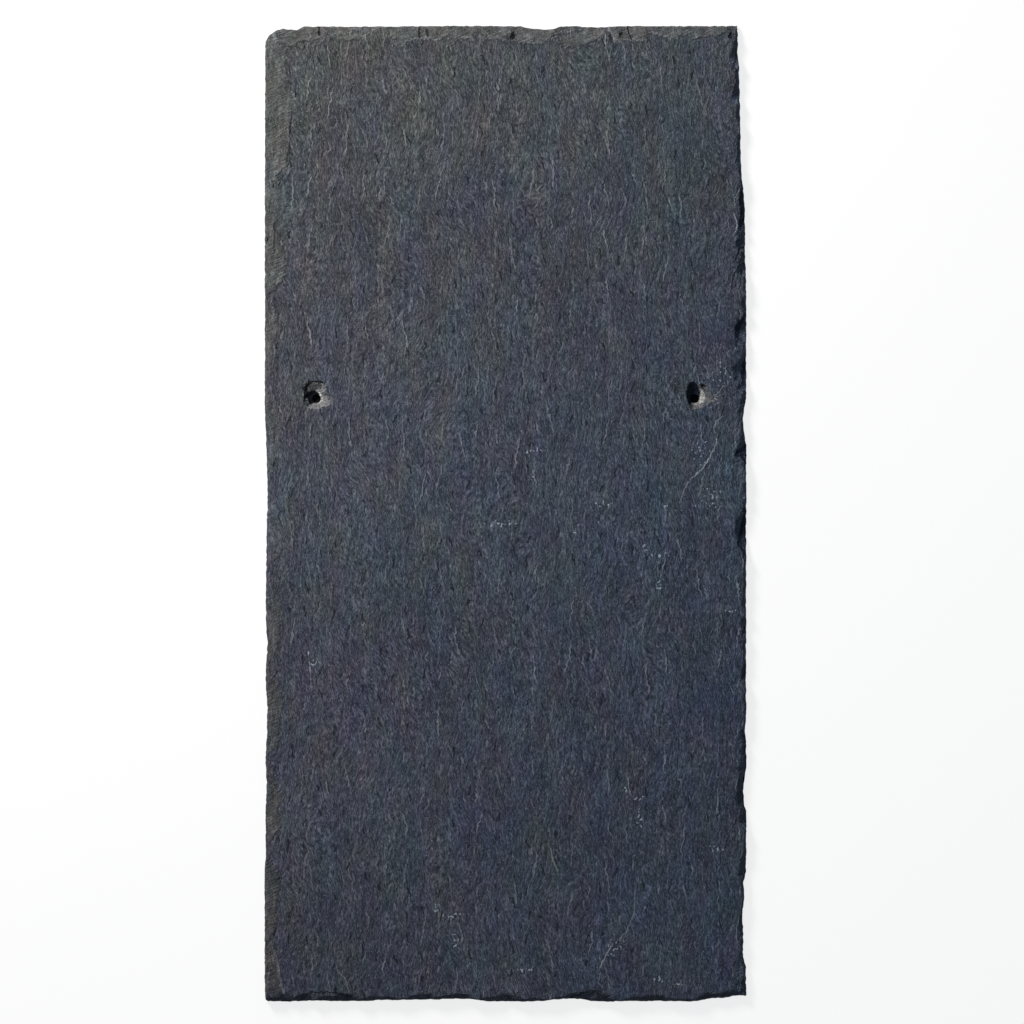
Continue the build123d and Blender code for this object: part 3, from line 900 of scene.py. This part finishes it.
# %% The mesh
def make_mesh(name, points, quad_list, triangle_list):
    """A mesh from points and faces, with the points that no face uses left out."""
    corners = np.concatenate([quad_list.ravel(), triangle_list.ravel()])
    used, corners = np.unique(corners, return_inverse=True)
    mesh = bpy.data.meshes.new(name)
    mesh.vertices.add(len(used))
    mesh.vertices.foreach_set("co", points[used].ravel())
    mesh.loops.add(len(corners))
    mesh.loops.foreach_set("vertex_index", corners.reshape(-1).astype(np.int32))
    triangle_starts = quad_list.size + np.arange(len(triangle_list)) * 3
    starts = np.concatenate([np.arange(len(quad_list)) * 4, triangle_starts])
    mesh.polygons.add(len(starts))
    mesh.polygons.foreach_set("loop_start", starts.astype(np.int32))
    mesh.update(calc_edges=True)
    mesh.validate()
    return mesh, used


skin_mesh, used = make_mesh("slate_skin", points, np.vstack(quad_faces), np.vstack(triangle_faces))
skin = in_scene("slate_skin", skin_mesh)
skin_mesh.calc_loop_triangles()
print("slate_skin", len(skin_mesh.vertices), "points", len(skin_mesh.loop_triangles), "triangles")

# %% The masks
extra = len(points) - len(face_places)
masks = {
    "broken": np.concatenate([broken, np.ones(extra)]),
    "crushed": np.concatenate([crushed, np.zeros(extra)]),
    "lost": np.concatenate([lost, np.full(extra, thickness)]) / MM,
    "dusty_lamp_side": dusty_lamp_side,
    "of_right_side": of_right_side,
    "powder": powder_and_light(x, y),
    "bruised": knocked(x, y),
    **drifts,
}
for name, (side, strength) in (hairline_kinds | placed_lines).items():
    masks[name + "_side"], masks[name + "_strength"] = side, strength
edge_softness = 0.35
by_rim = np.clip(2 * masks["rim_strength"], 0, 1)
left_of_rim = smooth_step(masks["rim_side"], -edge_softness, edge_softness)
masks["broken"] = masks["broken"] * (1 - by_rim) + left_of_rim * by_rim
inside_chip, chip_strength = beside_lines(x, y, closed(chips))
chipped = smooth_step(inside_chip, -edge_softness, edge_softness) * np.clip(3 * chip_strength, 0, 1)
masks["broken"] = np.maximum(masks["broken"], chipped)
masks["broken"][bed_numbers] = 0
masks["lost"][bed_numbers] = 0
for name, values in masks.items():
    attribute = skin_mesh.attributes.new(name, "FLOAT", "POINT")
    attribute.data.foreach_set("value", values[used].astype(np.float32))
skin_mesh.polygons.foreach_set("use_smooth", np.ones(len(skin_mesh.polygons), bool))
skin_mesh.set_sharp_from_angle(angle=math.radians(50))
print("masks", ", ".join(masks))

# %% Is the skin closed
# Each triangle and the origin make a small pyramid, and the signed volumes of all of them add up to the
# stone's. Every edge has to run once each way.
skin_mesh.calc_loop_triangles()
skin_triangles = rows(skin_mesh.loop_triangles, "vertices", np.int64)
skin_points = points[used]
first, second, third = (skin_points[skin_triangles[:, k]] for k in range(3))
volume = np.einsum("ij,ij->i", first, np.cross(second, third)).sum() / 6
edges = np.concatenate([skin_triangles[:, pair] for pair in ([0, 1], [1, 2], [2, 0])])
keys = edges[:, 0] * len(skin_points) + edges[:, 1]
mirrored = edges[:, 1] * len(skin_points) + edges[:, 0]
open_edges = int((~np.isin(keys, mirrored)).sum())
doubled_edges = len(keys) - len(np.unique(keys))
print("volume", round(volume / MM**3), "mm3, open edges", open_edges, "doubled edges", doubled_edges)

# %% [markdown]
# The stone's finish is worked out from the place on the slate, with noise nodes stretched along the
# fibres. Building nodes by hand takes many lines. So a small graph helper makes each kind of node in one
# short call, and what it gives works like a number: a plus sign between two values makes an adding node.


# %% A helper for node graphs
class Value:
    """A value that a node gives. Each sign between values makes the math node of its kind."""

    def __init__(self, graph, socket):
        self.graph = graph
        self.socket = socket

    def __add__(self, other):
        return self.graph.math("ADD", self, other)

    def __sub__(self, other):
        return self.graph.math("SUBTRACT", self, other)

    def __rsub__(self, other):
        return self.graph.math("SUBTRACT", other, self)

    def __mul__(self, other):
        return self.graph.math("MULTIPLY", self, other)

    def swing(self, strength):
        """strength times how far a noise is from its middle, 0.5."""
        return (self - 0.5) * strength

    def step(self, start, end, to_start=0.0, to_end=1.0):
        """A smooth change from to_start to to_end while this value goes from start to end."""
        values = (self, start, end, to_start, to_end)
        return self.graph.made("ShaderNodeMapRange", values, interpolation_type="SMOOTHSTEP")


class Graph:
    """A node tree, with one short method for each kind of node."""

    def __init__(self, owner):
        owner.use_nodes = True
        self.tree = owner.node_tree
        self.tree.nodes.clear()

    def node(self, kind, **settings):
        made = self.tree.nodes.new(kind)
        for key, value in settings.items():
            setattr(made, key, value)
        return made

    def feed(self, socket, value):
        """Links a socket to a value of the graph, or sets it to a number or colour."""
        if isinstance(value, Value):
            self.tree.links.new(value.socket, socket)
        else:
            socket.default_value = value

    def made(self, kind, values=(), output=0, **settings):
        """What a node gives when its inputs are fed in order."""
        node = self.node(kind, **settings)
        for socket, value in zip(node.inputs, values):
            self.feed(socket, value)
        return Value(self, node.outputs[output])

    def math(self, operation, a, b=0.0):
        return self.made("ShaderNodeMath", (a, b), operation=operation)

    def largest(self, first, *others):
        for value in others:
            first = self.math("MAXIMUM", first, value)
        return first

    def vector(self, x=0.0, y=0.0, z=0.0):
        return self.made("ShaderNodeCombineXYZ", (x, y, z))

    def parts(self, vector):
        """The x, y and z of a vector."""
        node = self.node("ShaderNodeSeparateXYZ")
        self.feed(node.inputs[0], vector)
        return [Value(self, socket) for socket in node.outputs]

    def vector_math(self, operation, a, b, output=0):
        return self.made("ShaderNodeVectorMath", (a, b), output, operation=operation)

    def noise(self, place, cell, layers=2.0, roughness=0.5, shift=0.0):
        """Noise from 0 to 1 round 0.5, in cells of (across, along) or (across, along, up) millimetres."""
        mapping = self.node("ShaderNodeMapping", vector_type="POINT")
        self.feed(mapping.inputs["Vector"], place)
        mapping.inputs["Scale"].default_value = [1 / (width * MM) for width in cell] + [1.0] * (3 - len(cell))
        mapping.inputs["Location"].default_value = (shift, 1.7 * shift, 0.6 * shift)
        cloud = self.node("ShaderNodeTexNoise", noise_dimensions="2D" if len(cell) == 2 else "3D")
        self.feed(cloud.inputs["Vector"], Value(self, mapping.outputs[0]))
        for name, value in {"Scale": 1.0, "Detail": layers, "Roughness": roughness}.items():
            cloud.inputs[name].default_value = value
        return Value(self, cloud.outputs["Fac"])

    def mix(self, share, a, b, blend="MIX"):
        """Colour a blended with colour b by a share."""
        made = self.node("ShaderNodeMix", data_type="RGBA", blend_type=blend)
        for number, value in ((0, share), (6, a), (7, b)):
            self.feed(made.inputs[number], value)
        return Value(self, made.outputs[2])

    def colour(self, red, green, blue):
        return self.made("ShaderNodeCombineColor", (red, green, blue))

    def attribute(self, name):
        """A value that the mesh carries in its points."""
        return self.made("ShaderNodeAttribute", (), "Fac", attribute_name=name)

    def end(self, kind, surface):
        """The output node of a Material or a World."""
        self.feed(self.node("ShaderNodeOutput" + kind).inputs["Surface"], surface)


# %% [markdown]
# Riven slate, as the light shows it, is mostly fibre: short streaks about half a millimetre wide, woven at
# a slight lean to either side. The hairlines lie over them as painted highlights and painted shade. Where the
# stone is broken across its skins, its thin layers show as lines that follow the break, and where the punch
# has crushed it, it is pale powder, whose whiteness is partly painted light.

# %% Grain of the stone
slate_material = bpy.data.materials.new("riven_slate")
slate = Graph(slate_material)
place = slate.made("ShaderNodeTexCoord", (), "Object")
spot_x, spot_y = slate.parts(place)[:2]


def woven(lean):
    """The place with its x moved by the fibres' wander and sheared by a lean."""
    return slate.vector(spot_x + slate.attribute("wander") * MM + spot_y * lean, spot_y)


fibres = slate.noise(woven(0.20), (0.70, 2.9), 2.0, 0.62, 1.3)
threads = slate.noise(woven(-0.16), (0.60, 1.9), 2.0, 0.62, 5.2)
bundles = slate.noise(woven(-0.05), (1.8, 7.0), 2.0, 0.62, 6.6)
specks = slate.noise(place, (0.55, 0.70), 0.0, 0.5, 9.9)
waver = slate.noise(place, (1.7, 2.6), 1.0, 0.5, 51.0)


# %% Lines on the stone
def drawn(name, width, wavering, swelling=0.0):
    """The wavering signed distance to the lines of a kind, and 1 on the lines, where it is under the half
    width. The width swells and shrinks with the grain."""
    side = slate.attribute(name + "_side") + waver.swing(wavering)
    away = slate.math("ABSOLUTE", side) + bundles.swing(swelling)
    return side, away.step(0.3 * width, width, 1.0, 0.0) * slate.attribute(name + "_strength")


long_side, long_line = drawn("long", 0.54, 2.0, 0.5)
short_side, short_line = drawn("short", 0.48, 2.0, 0.4)
slit_shade_line = drawn("slit_shade", 0.55, 1.6)[1]
scratch_line = drawn("scratch", 0.46, 1.5, 0.5)[1]
gash_shade_line = drawn("gash", 0.72, 1.6, 1.2)[1]
# The pale line along each rim is a painted highlight, where the edge of a break would catch the lamp.
rim_side, rim_highlight = drawn("rim", 0.85, 2.6, 1.2)
print("lines drawn", len(slate.tree.nodes), "nodes so far")


# %% Painted shade beside the lines
def shade_beside(name, side, offset, inner, outer):
    """A soft dark band of painted shade beside the lines of a kind, at a signed distance of offset from them.
    """
    away = slate.math("ABSOLUTE", side - offset)
    return away.step(inner, outer, 1.0, 0.0) * slate.attribute(name + "_strength")


line_shades = slate.largest(
    shade_beside("long", long_side, 0.75, 0.15, 0.55),
    shade_beside("short", short_side, -0.70, 0.15, 0.50),
)
# The dark band on the face just beside each rim is painted shade under its ledge.
ledge_shade = shade_beside("rim", rim_side, -1.1, 0.3, 1.1) * bundles.step(0.36, 0.54)
# Inside the scars of the right side the colour turns near-black navy: painted shade, for scar walls that face
# away from the lamp.
scar_edge = slate.attribute("scar_shade_side") + waver.swing(1.2)
scar_shade_share = scar_edge.step(-0.10, 0.25) * slate.attribute("scar_shade_strength")

# %% Painted highlights, painted shade and marks of the face
hairline_highlights = slate.largest(long_line, short_line) * fibres.step(0.28, 0.54, 0.45, 1.0)
# The hollows between the threads are darkened: painted shade.
shaded_hollows = threads.step(0.26, 0.35, 0.6, 0.0)
shaded_lines = slate.largest(slit_shade_line.step(0.12, 0.50), shaded_hollows, line_shades * 0.60)
scratch = scratch_line * specks.step(0.25, 0.55, 0.45, 1.0)
# Sparks are painted glints: small pale spots for the stone's sparkle under the lamp.
painted_glints = slate.noise(place, (0.8, 1.2), 0.0, 0.5, 33.0).step(0.73, 0.84)
bruised = slate.attribute("bruised")
bruise_from = bruised.step(0.0, 1.0, 0.78, 0.53)
bruise_dots = slate.noise(place, (1.3, 1.5), 0.0, 0.5, 57.0)
dots = (bruise_dots - bruise_from).step(0.0, 0.10) * bruised.step(0.02, 0.25)


# %% Small pits and slits at the head, painted dark as painted shade
def pit_shade(px, py, half_wide, half_tall):
    """1 inside a small oval at a place in millimetres, with a ragged rim."""
    way = slate.vector_math("SUBTRACT", rough_place, (px * MM, py * MM, 0))
    shares = slate.vector_math("DIVIDE", way, (half_wide * MM, half_tall * MM, 1))
    return slate.vector_math("LENGTH", shares, (0, 0, 0), "Value").step(0.6, 1.15, 1.0, 0.0)


ragged = waver.swing(2.4 * MM)
rough_place = slate.vector(spot_x + ragged, spot_y + ragged)
ovals = [
    (3.8, 244.0, 1.2, 2.3), (59.1, 245.4, 0.8, 1.0), (115.2, 244.1, 1.0, 2.1), (100.6, 65.7, 1.1, 1.1),
    (-118.6, 167.5, 0.5, 0.9), (-122.2, 139.8, 0.4, 1.5),
]
shaded_pits = slate.largest(*(pit_shade(*oval) for oval in ovals))
print("shaded_pits", len(ovals))

# %% [markdown]
# Colour is worked out as a plain stone colour times a tone and a hue. The tone is a power, so that it can
# rise further than it falls, as sparkle does. The paints for all that lies on the stone stand in one table,
# as linear red, green and blue.

# %% Paints
stone = (0.0342, 0.0401, 0.0538)
paints = {
    # The hairline paint is a painted highlight, and the slit paint painted shade.
    "hairline": (0.160, 0.157, 0.138, 1),
    "slit_shade": (0.004, 0.006, 0.010, 1),
    "scratch": (0.246, 0.258, 0.275, 1),
    "bruise": (0.225, 0.265, 0.320, 1),
    "grey dust": (0.056, 0.061, 0.060, 1),
    "brown dust": (0.059, 0.057, 0.056, 1),
    "earth": (0.074, 0.064, 0.061, 1),
    "earth fleck": (0.190, 0.180, 0.172, 1),
    # The paints of the breaks on the far side from the lamp are lightened to offset their shade: painted
    # light.
    "fresh tail": (0.0400, 0.0475, 0.0620, 1),
    "fresh side": (0.0430, 0.0550, 0.0790, 1),
    "fresh fleck": (0.105, 0.118, 0.140, 1),
    # The scar paint is painted shade.
    "scar_shade": (0.0045, 0.0085, 0.0200, 1),
    # The crack paint is painted shade.
    "crack_shade": (0.009, 0.011, 0.015, 1),
    # The wall paints are painted shade; the slope and white powder paints are partly painted light.
    "left wall shade": (0.0008, 0.0014, 0.0040, 1),
    "right wall shade": (0.0020, 0.0056, 0.0140, 1),
    "thin powder": (0.064, 0.068, 0.076, 1),
    "slope powder and light": (0.120, 0.119, 0.124, 1),
    "white powder and light": (0.330, 0.328, 0.312, 1),
    # The ledge paint is painted shade, and the rim paint a painted highlight.
    "ledge": (0.014, 0.017, 0.021, 1),
    "rim": (0.155, 0.160, 0.168, 1),
    # The pit paint is painted shade, in the pits and the gashes.
    "pit_shade": (0.004, 0.005, 0.007, 1),
}
print("paints", len(paints))


# %% Colour of the riven face
def toned(colour, power):
    """A colour times e to a power."""
    tone = slate.math("POWER", math.e, power)
    return slate.mix(1.0, colour, slate.colour(tone, tone, tone), "MULTIPLY")


cloud = slate.attribute("cloud")
tone_power = (
    fibres.swing(2.5) + threads.swing(1.9) + specks.swing(0.5) + bundles.swing(2.1)
    + cloud * 0.33 + slate.attribute("lightness")
)
warmth = slate.attribute("warmth") + tone_power * 0.085
green = slate.attribute("greenness") + 1.0
tint = slate.colour((warmth + 1.0) * stone[0], green * stone[1], (1.0 - warmth) * stone[2])
face_colour = toned(tint, tone_power)
# Pale hairlines are painted highlights, and the glints take the same paint.
highlight_colour = slate.mix(0.55, paints["hairline"], toned(tint, 1.40))
highlight_share = slate.largest(hairline_highlights * 0.78, painted_glints * 0.45)
face_colour = slate.mix(highlight_share, face_colour, highlight_colour)
# The dark lines, that is slits, hollows and the bands beside hairlines, are painted shade; scratches and
# bruise dots are marks on the stone.
marks = [(shaded_lines, 0.88, "slit_shade"), (scratch, 0.85, "scratch"), (dots, 0.85, "bruise")]
for share, strength, paint in marks:
    face_colour = slate.mix(share * strength, face_colour, paints[paint])

# %% [markdown]
# Breaks on the lamp side have a thin grey-green dust on them, through which the stone still shows, and are
# painted paler, partly as painted light. Breaks on the far side are painted lighter than their shade would
# leave them, which is painted light.
# A break starts with a thin dark crack, here and there, where the lost depth is still small: painted shade
# along the step down from the face. In the craters the powder value picks bare stone painted dark as painted
# shade at 0, then thin dust, then a pale slope, and white powder at 1; the pale slope and the white powder
# are partly painted light.

# %% Colour of broken stone
broken_mask = slate.attribute("broken")
lost_depth = slate.attribute("lost")
dusty_lamp_side_mask = slate.attribute("dusty_lamp_side")
earthy = slate.attribute("earthy")
grit = slate.noise(place, (0.9, 1.2, 0.9), 2.0, 0.66, 43.0)
laminae = slate.noise(place, (7, 9, 0.30), 1.0, 0.62, 45.0)
ridges = slate.noise(slate.vector(spot_x, spot_y - spot_x * 0.45), (4.5, 0.9), 2.0, 0.6, 63.0)
lumps = slate.noise(place, (3.5, 11, 3.5), 1.0, 0.6, 65.0)
flecks = slate.noise(place, (1.3, 3.0, 1.0), 0.0, 0.5, 47.0).step(0.66, 0.74)
break_power = (
    grit.swing(1.9) + laminae.swing(2.2) + fibres.swing(1.0) + ridges.swing(1.5) + lumps.swing(1.6)
    + slate.attribute("headward") * 0.14 - 0.08
)
# Breaks on the lamp side are paler: grey-green dust, and partly painted light.
dusty = slate.mix(cloud.step(-0.3, 0.3), paints["grey dust"], paints["brown dust"])
dusty = slate.mix(earthy, dusty, paints["earth"])
dusty = slate.mix(0.30, toned(dusty, break_power), face_colour)
dusty = slate.mix(flecks * earthy * 0.6, dusty, paints["earth fleck"])
# Breaks on the far side from the lamp are painted lighter to offset the shade on their bevels: painted light;
# their scars are painted shade.
far_side = slate.mix(slate.attribute("of_right_side"), paints["fresh tail"], paints["fresh side"])
far_side = slate.mix(scar_shade_share, toned(far_side, break_power), paints["scar_shade"])
far_side = slate.mix(flecks * 0.5, far_side, paints["fresh fleck"])
kept_dust = 0.94 - slate.attribute("washed") * 0.62
broken_share = slate.largest(broken_mask * kept_dust, scar_shade_share)
stone_colour = slate.mix(broken_share, face_colour, slate.mix(dusty_lamp_side_mask, far_side, dusty))
# The crack is painted shade along the step where a break begins.
crack_shade = lost_depth.step(0.01, 0.03) * lost_depth.step(0.07, 0.16, 1.0, 0.0)
crack_shade = crack_shade * bundles.step(0.46, 0.60) * kept_dust * 0.58
stone_colour = slate.mix(crack_shade, stone_colour, paints["crack_shade"])

# %% Colour of crushed stone, with painted shade and painted light
powder = slate.attribute("powder")
# The bare crater walls are painted near black: painted shade of walls that face away from the lamp.
crushed_colour = slate.mix(dusty_lamp_side_mask, paints["right wall shade"], paints["left wall shade"])
powders = [(0.0, 0.35, "thin powder"), (0.35, 0.65, "slope powder and light"), (0.65, 1.0, "white powder and light")]
for start, end, paint in powders:
    crushed_colour = slate.mix(powder.step(start, end), crushed_colour, paints[paint])
crushed_colour = toned(crushed_colour, grit.swing(1.8) + bundles.swing(0.8))
stone_colour = slate.mix(slate.attribute("crushed"), stone_colour, crushed_colour)

# %% Painted highlight on rims, and painted shade under ledges, in pits and in gashes
stone_colour = slate.mix(ledge_shade * 0.55, stone_colour, paints["ledge"])
stone_colour = slate.mix(rim_highlight * threads.step(0.30, 0.60, 0.22, 0.75), stone_colour, paints["rim"])
# Pits and gashes are painted near black: painted shade in their hollows.
stone_colour = slate.mix(slate.largest(shaded_pits, gash_shade_line * 0.95), stone_colour, paints["pit_shade"])
print("colour done", len(slate.tree.nodes), "nodes so far")


# %% Relief too fine for the mesh
def small_step(side, name, depth):
    """One side of a line stands a little higher than the other, by depth times the line's strength."""
    return side.step(-0.4, 0.4) * slate.attribute(name + "_strength") * depth


face_height = (
    fibres * (0.26 * MM) + threads * (0.18 * MM) + bundles * (0.34 * MM)
    + small_step(long_side, "long", 0.16 * MM) + small_step(short_side, "short", -0.10 * MM)
    + shaded_lines * (-0.25 * MM)
)
break_height = grit * (0.50 * MM) + laminae * (0.22 * MM) + ridges * (0.60 * MM)
height = face_height * (1.0 - broken_mask * 0.5) + break_height * broken_mask * kept_dust
height = height + shaded_pits * (-1.0 * MM) + gash_shade_line * (-0.5 * MM)

# %% Riven slate
bump = slate.node("ShaderNodeBump")
bump.inputs["Strength"].default_value = 1.0
bump.inputs["Distance"].default_value = 1.0
slate.feed(bump.inputs["Height"], height)
finish = slate.node("ShaderNodeBsdfPrincipled")
finish.inputs["Specular IOR Level"].default_value = 0.10
slate.feed(finish.inputs["Base Color"], stone_colour)
slate.feed(finish.inputs["Roughness"], (fibres + broken_mask * 0.5).step(0.3, 1.1, 0.55, 0.9))
slate.feed(finish.inputs["Normal"], Value(slate, bump.outputs[0]))
slate.end("Material", Value(slate, finish.outputs[0]))
skin_mesh.materials.append(slate_material)
print("riven_slate", len(slate.tree.nodes), "nodes")

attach(skin, "root")
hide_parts("slate")

# %% [markdown]
# The slate lies on a pale sheet in a plain studio. The camera should see a white ground, but the stone
# should not be lit by one from below, so the sheet and the world answer camera rays with white and all
# other rays with a quiet grey. The sheet still takes the slate's shadow. A little inside the slate's outline
# the sheet is painted near black and gives no white: painted shade, so that the nail holes look dark.

# %% The sheet
sheet_half = 3.0
sheet_mesh = bpy.data.meshes.new("sheet")
sheet_corners = [(-sheet_half, -sheet_half, 0), (sheet_half, -sheet_half, 0)]
sheet_corners += [(sheet_half, sheet_half, 0), (-sheet_half, sheet_half, 0)]
sheet_mesh.from_pydata(sheet_corners, [], [(0, 1, 2, 3)])
sheet = in_scene("sheet", sheet_mesh)


def seen_directly(graph):
    """1 for rays that the camera sends, straight or by way of gloss or glass."""
    rays = graph.node("ShaderNodeLightPath").outputs
    kinds = ("Is Camera Ray", "Is Glossy Ray", "Is Transmission Ray")
    return graph.largest(*(Value(graph, rays[kind]) for kind in kinds))


paper_material = bpy.data.materials.new("paper")
paper = Graph(paper_material)
paper_spot = paper.parts(paper.made("ShaderNodeTexCoord", (), "Object"))
# Under the slate the sheet is painted near black: painted shade, seen through the nail holes.
shade_inset, shade_blend = 6 * MM, 2 * MM
beyond = [
    paper.math("ABSOLUTE", way).step(reach, reach + shade_blend)
    for way, reach in zip(paper_spot, high[:2] - shade_inset)
]
outside_painted_shade = paper.largest(*beyond)
seen = seen_directly(paper)
pale = paper.mix(seen, (0.22, 0.22, 0.23, 1), (0.85, 0.85, 0.85, 1))
plain = paper.made("ShaderNodeBsdfDiffuse", (paper.mix(outside_painted_shade, (0.01, 0.01, 0.012, 1), pale),))
white = paper.made("ShaderNodeEmission", ((1, 1, 1, 1), 1.0))
paper.end("Material", paper.made("ShaderNodeMixShader", (seen * outside_painted_shade * 0.8, plain, white)))
sheet_mesh.materials.append(paper_material)

# %% The world
world = bpy.data.worlds.new("studio")
bpy.context.scene.world = world
studio = Graph(world)
quiet = studio.made("ShaderNodeBackground", ((0.76, 0.87, 1.0, 1), 0.30))
bright = studio.made("ShaderNodeBackground", ((1, 1, 1, 1), 1.0))
studio.end("World", studio.made("ShaderNodeMixShader", (seen_directly(studio), quiet, bright)))

# %% [markdown]
# One soft lamp stands low at the upper left, near enough that the head of the slate is brighter than its
# tail. It rakes the face, so every fibre and scar shows. The world alone fills the shadows.

# %% The lamp
lamp_data = bpy.data.lights.new("window", "AREA")
lamp_data.shape = "DISK"
lamp_data.size = 0.35
lamp_data.energy = 26.0
lamp_data.color = (1.0, 0.97, 0.93)
lamp = in_scene("window", lamp_data)
lamp.location = (-0.62, 0.80, 0.62)
lamp.rotation_euler = (-lamp.location).to_track_quat("-Z", "Y").to_euler()

# %% [markdown]
# The camera hangs far above the slate with a long lens, which keeps the edges from leaning. Its distance
# and lens are worked out from the width of the picture on the slate.

# %% The camera
picture_width = 524.4 * MM
picture_middle = (3.33 * MM, 0.85 * MM)
rim_height = 1.5 * MM
camera_height = 2.5
camera_data = bpy.data.cameras.new("camera")
camera_data.sensor_width = 36.0
camera_data.lens = camera_data.sensor_width * (camera_height - rim_height) / picture_width
camera_data.clip_end = 50
camera = in_scene("camera", camera_data)
camera.location = (*picture_middle, camera_height)
bpy.context.scene.camera = camera
print("lens", round(camera_data.lens, 2), "mm at", camera_height, "m")
bpy.context.scene.view_settings.view_transform = "Standard"
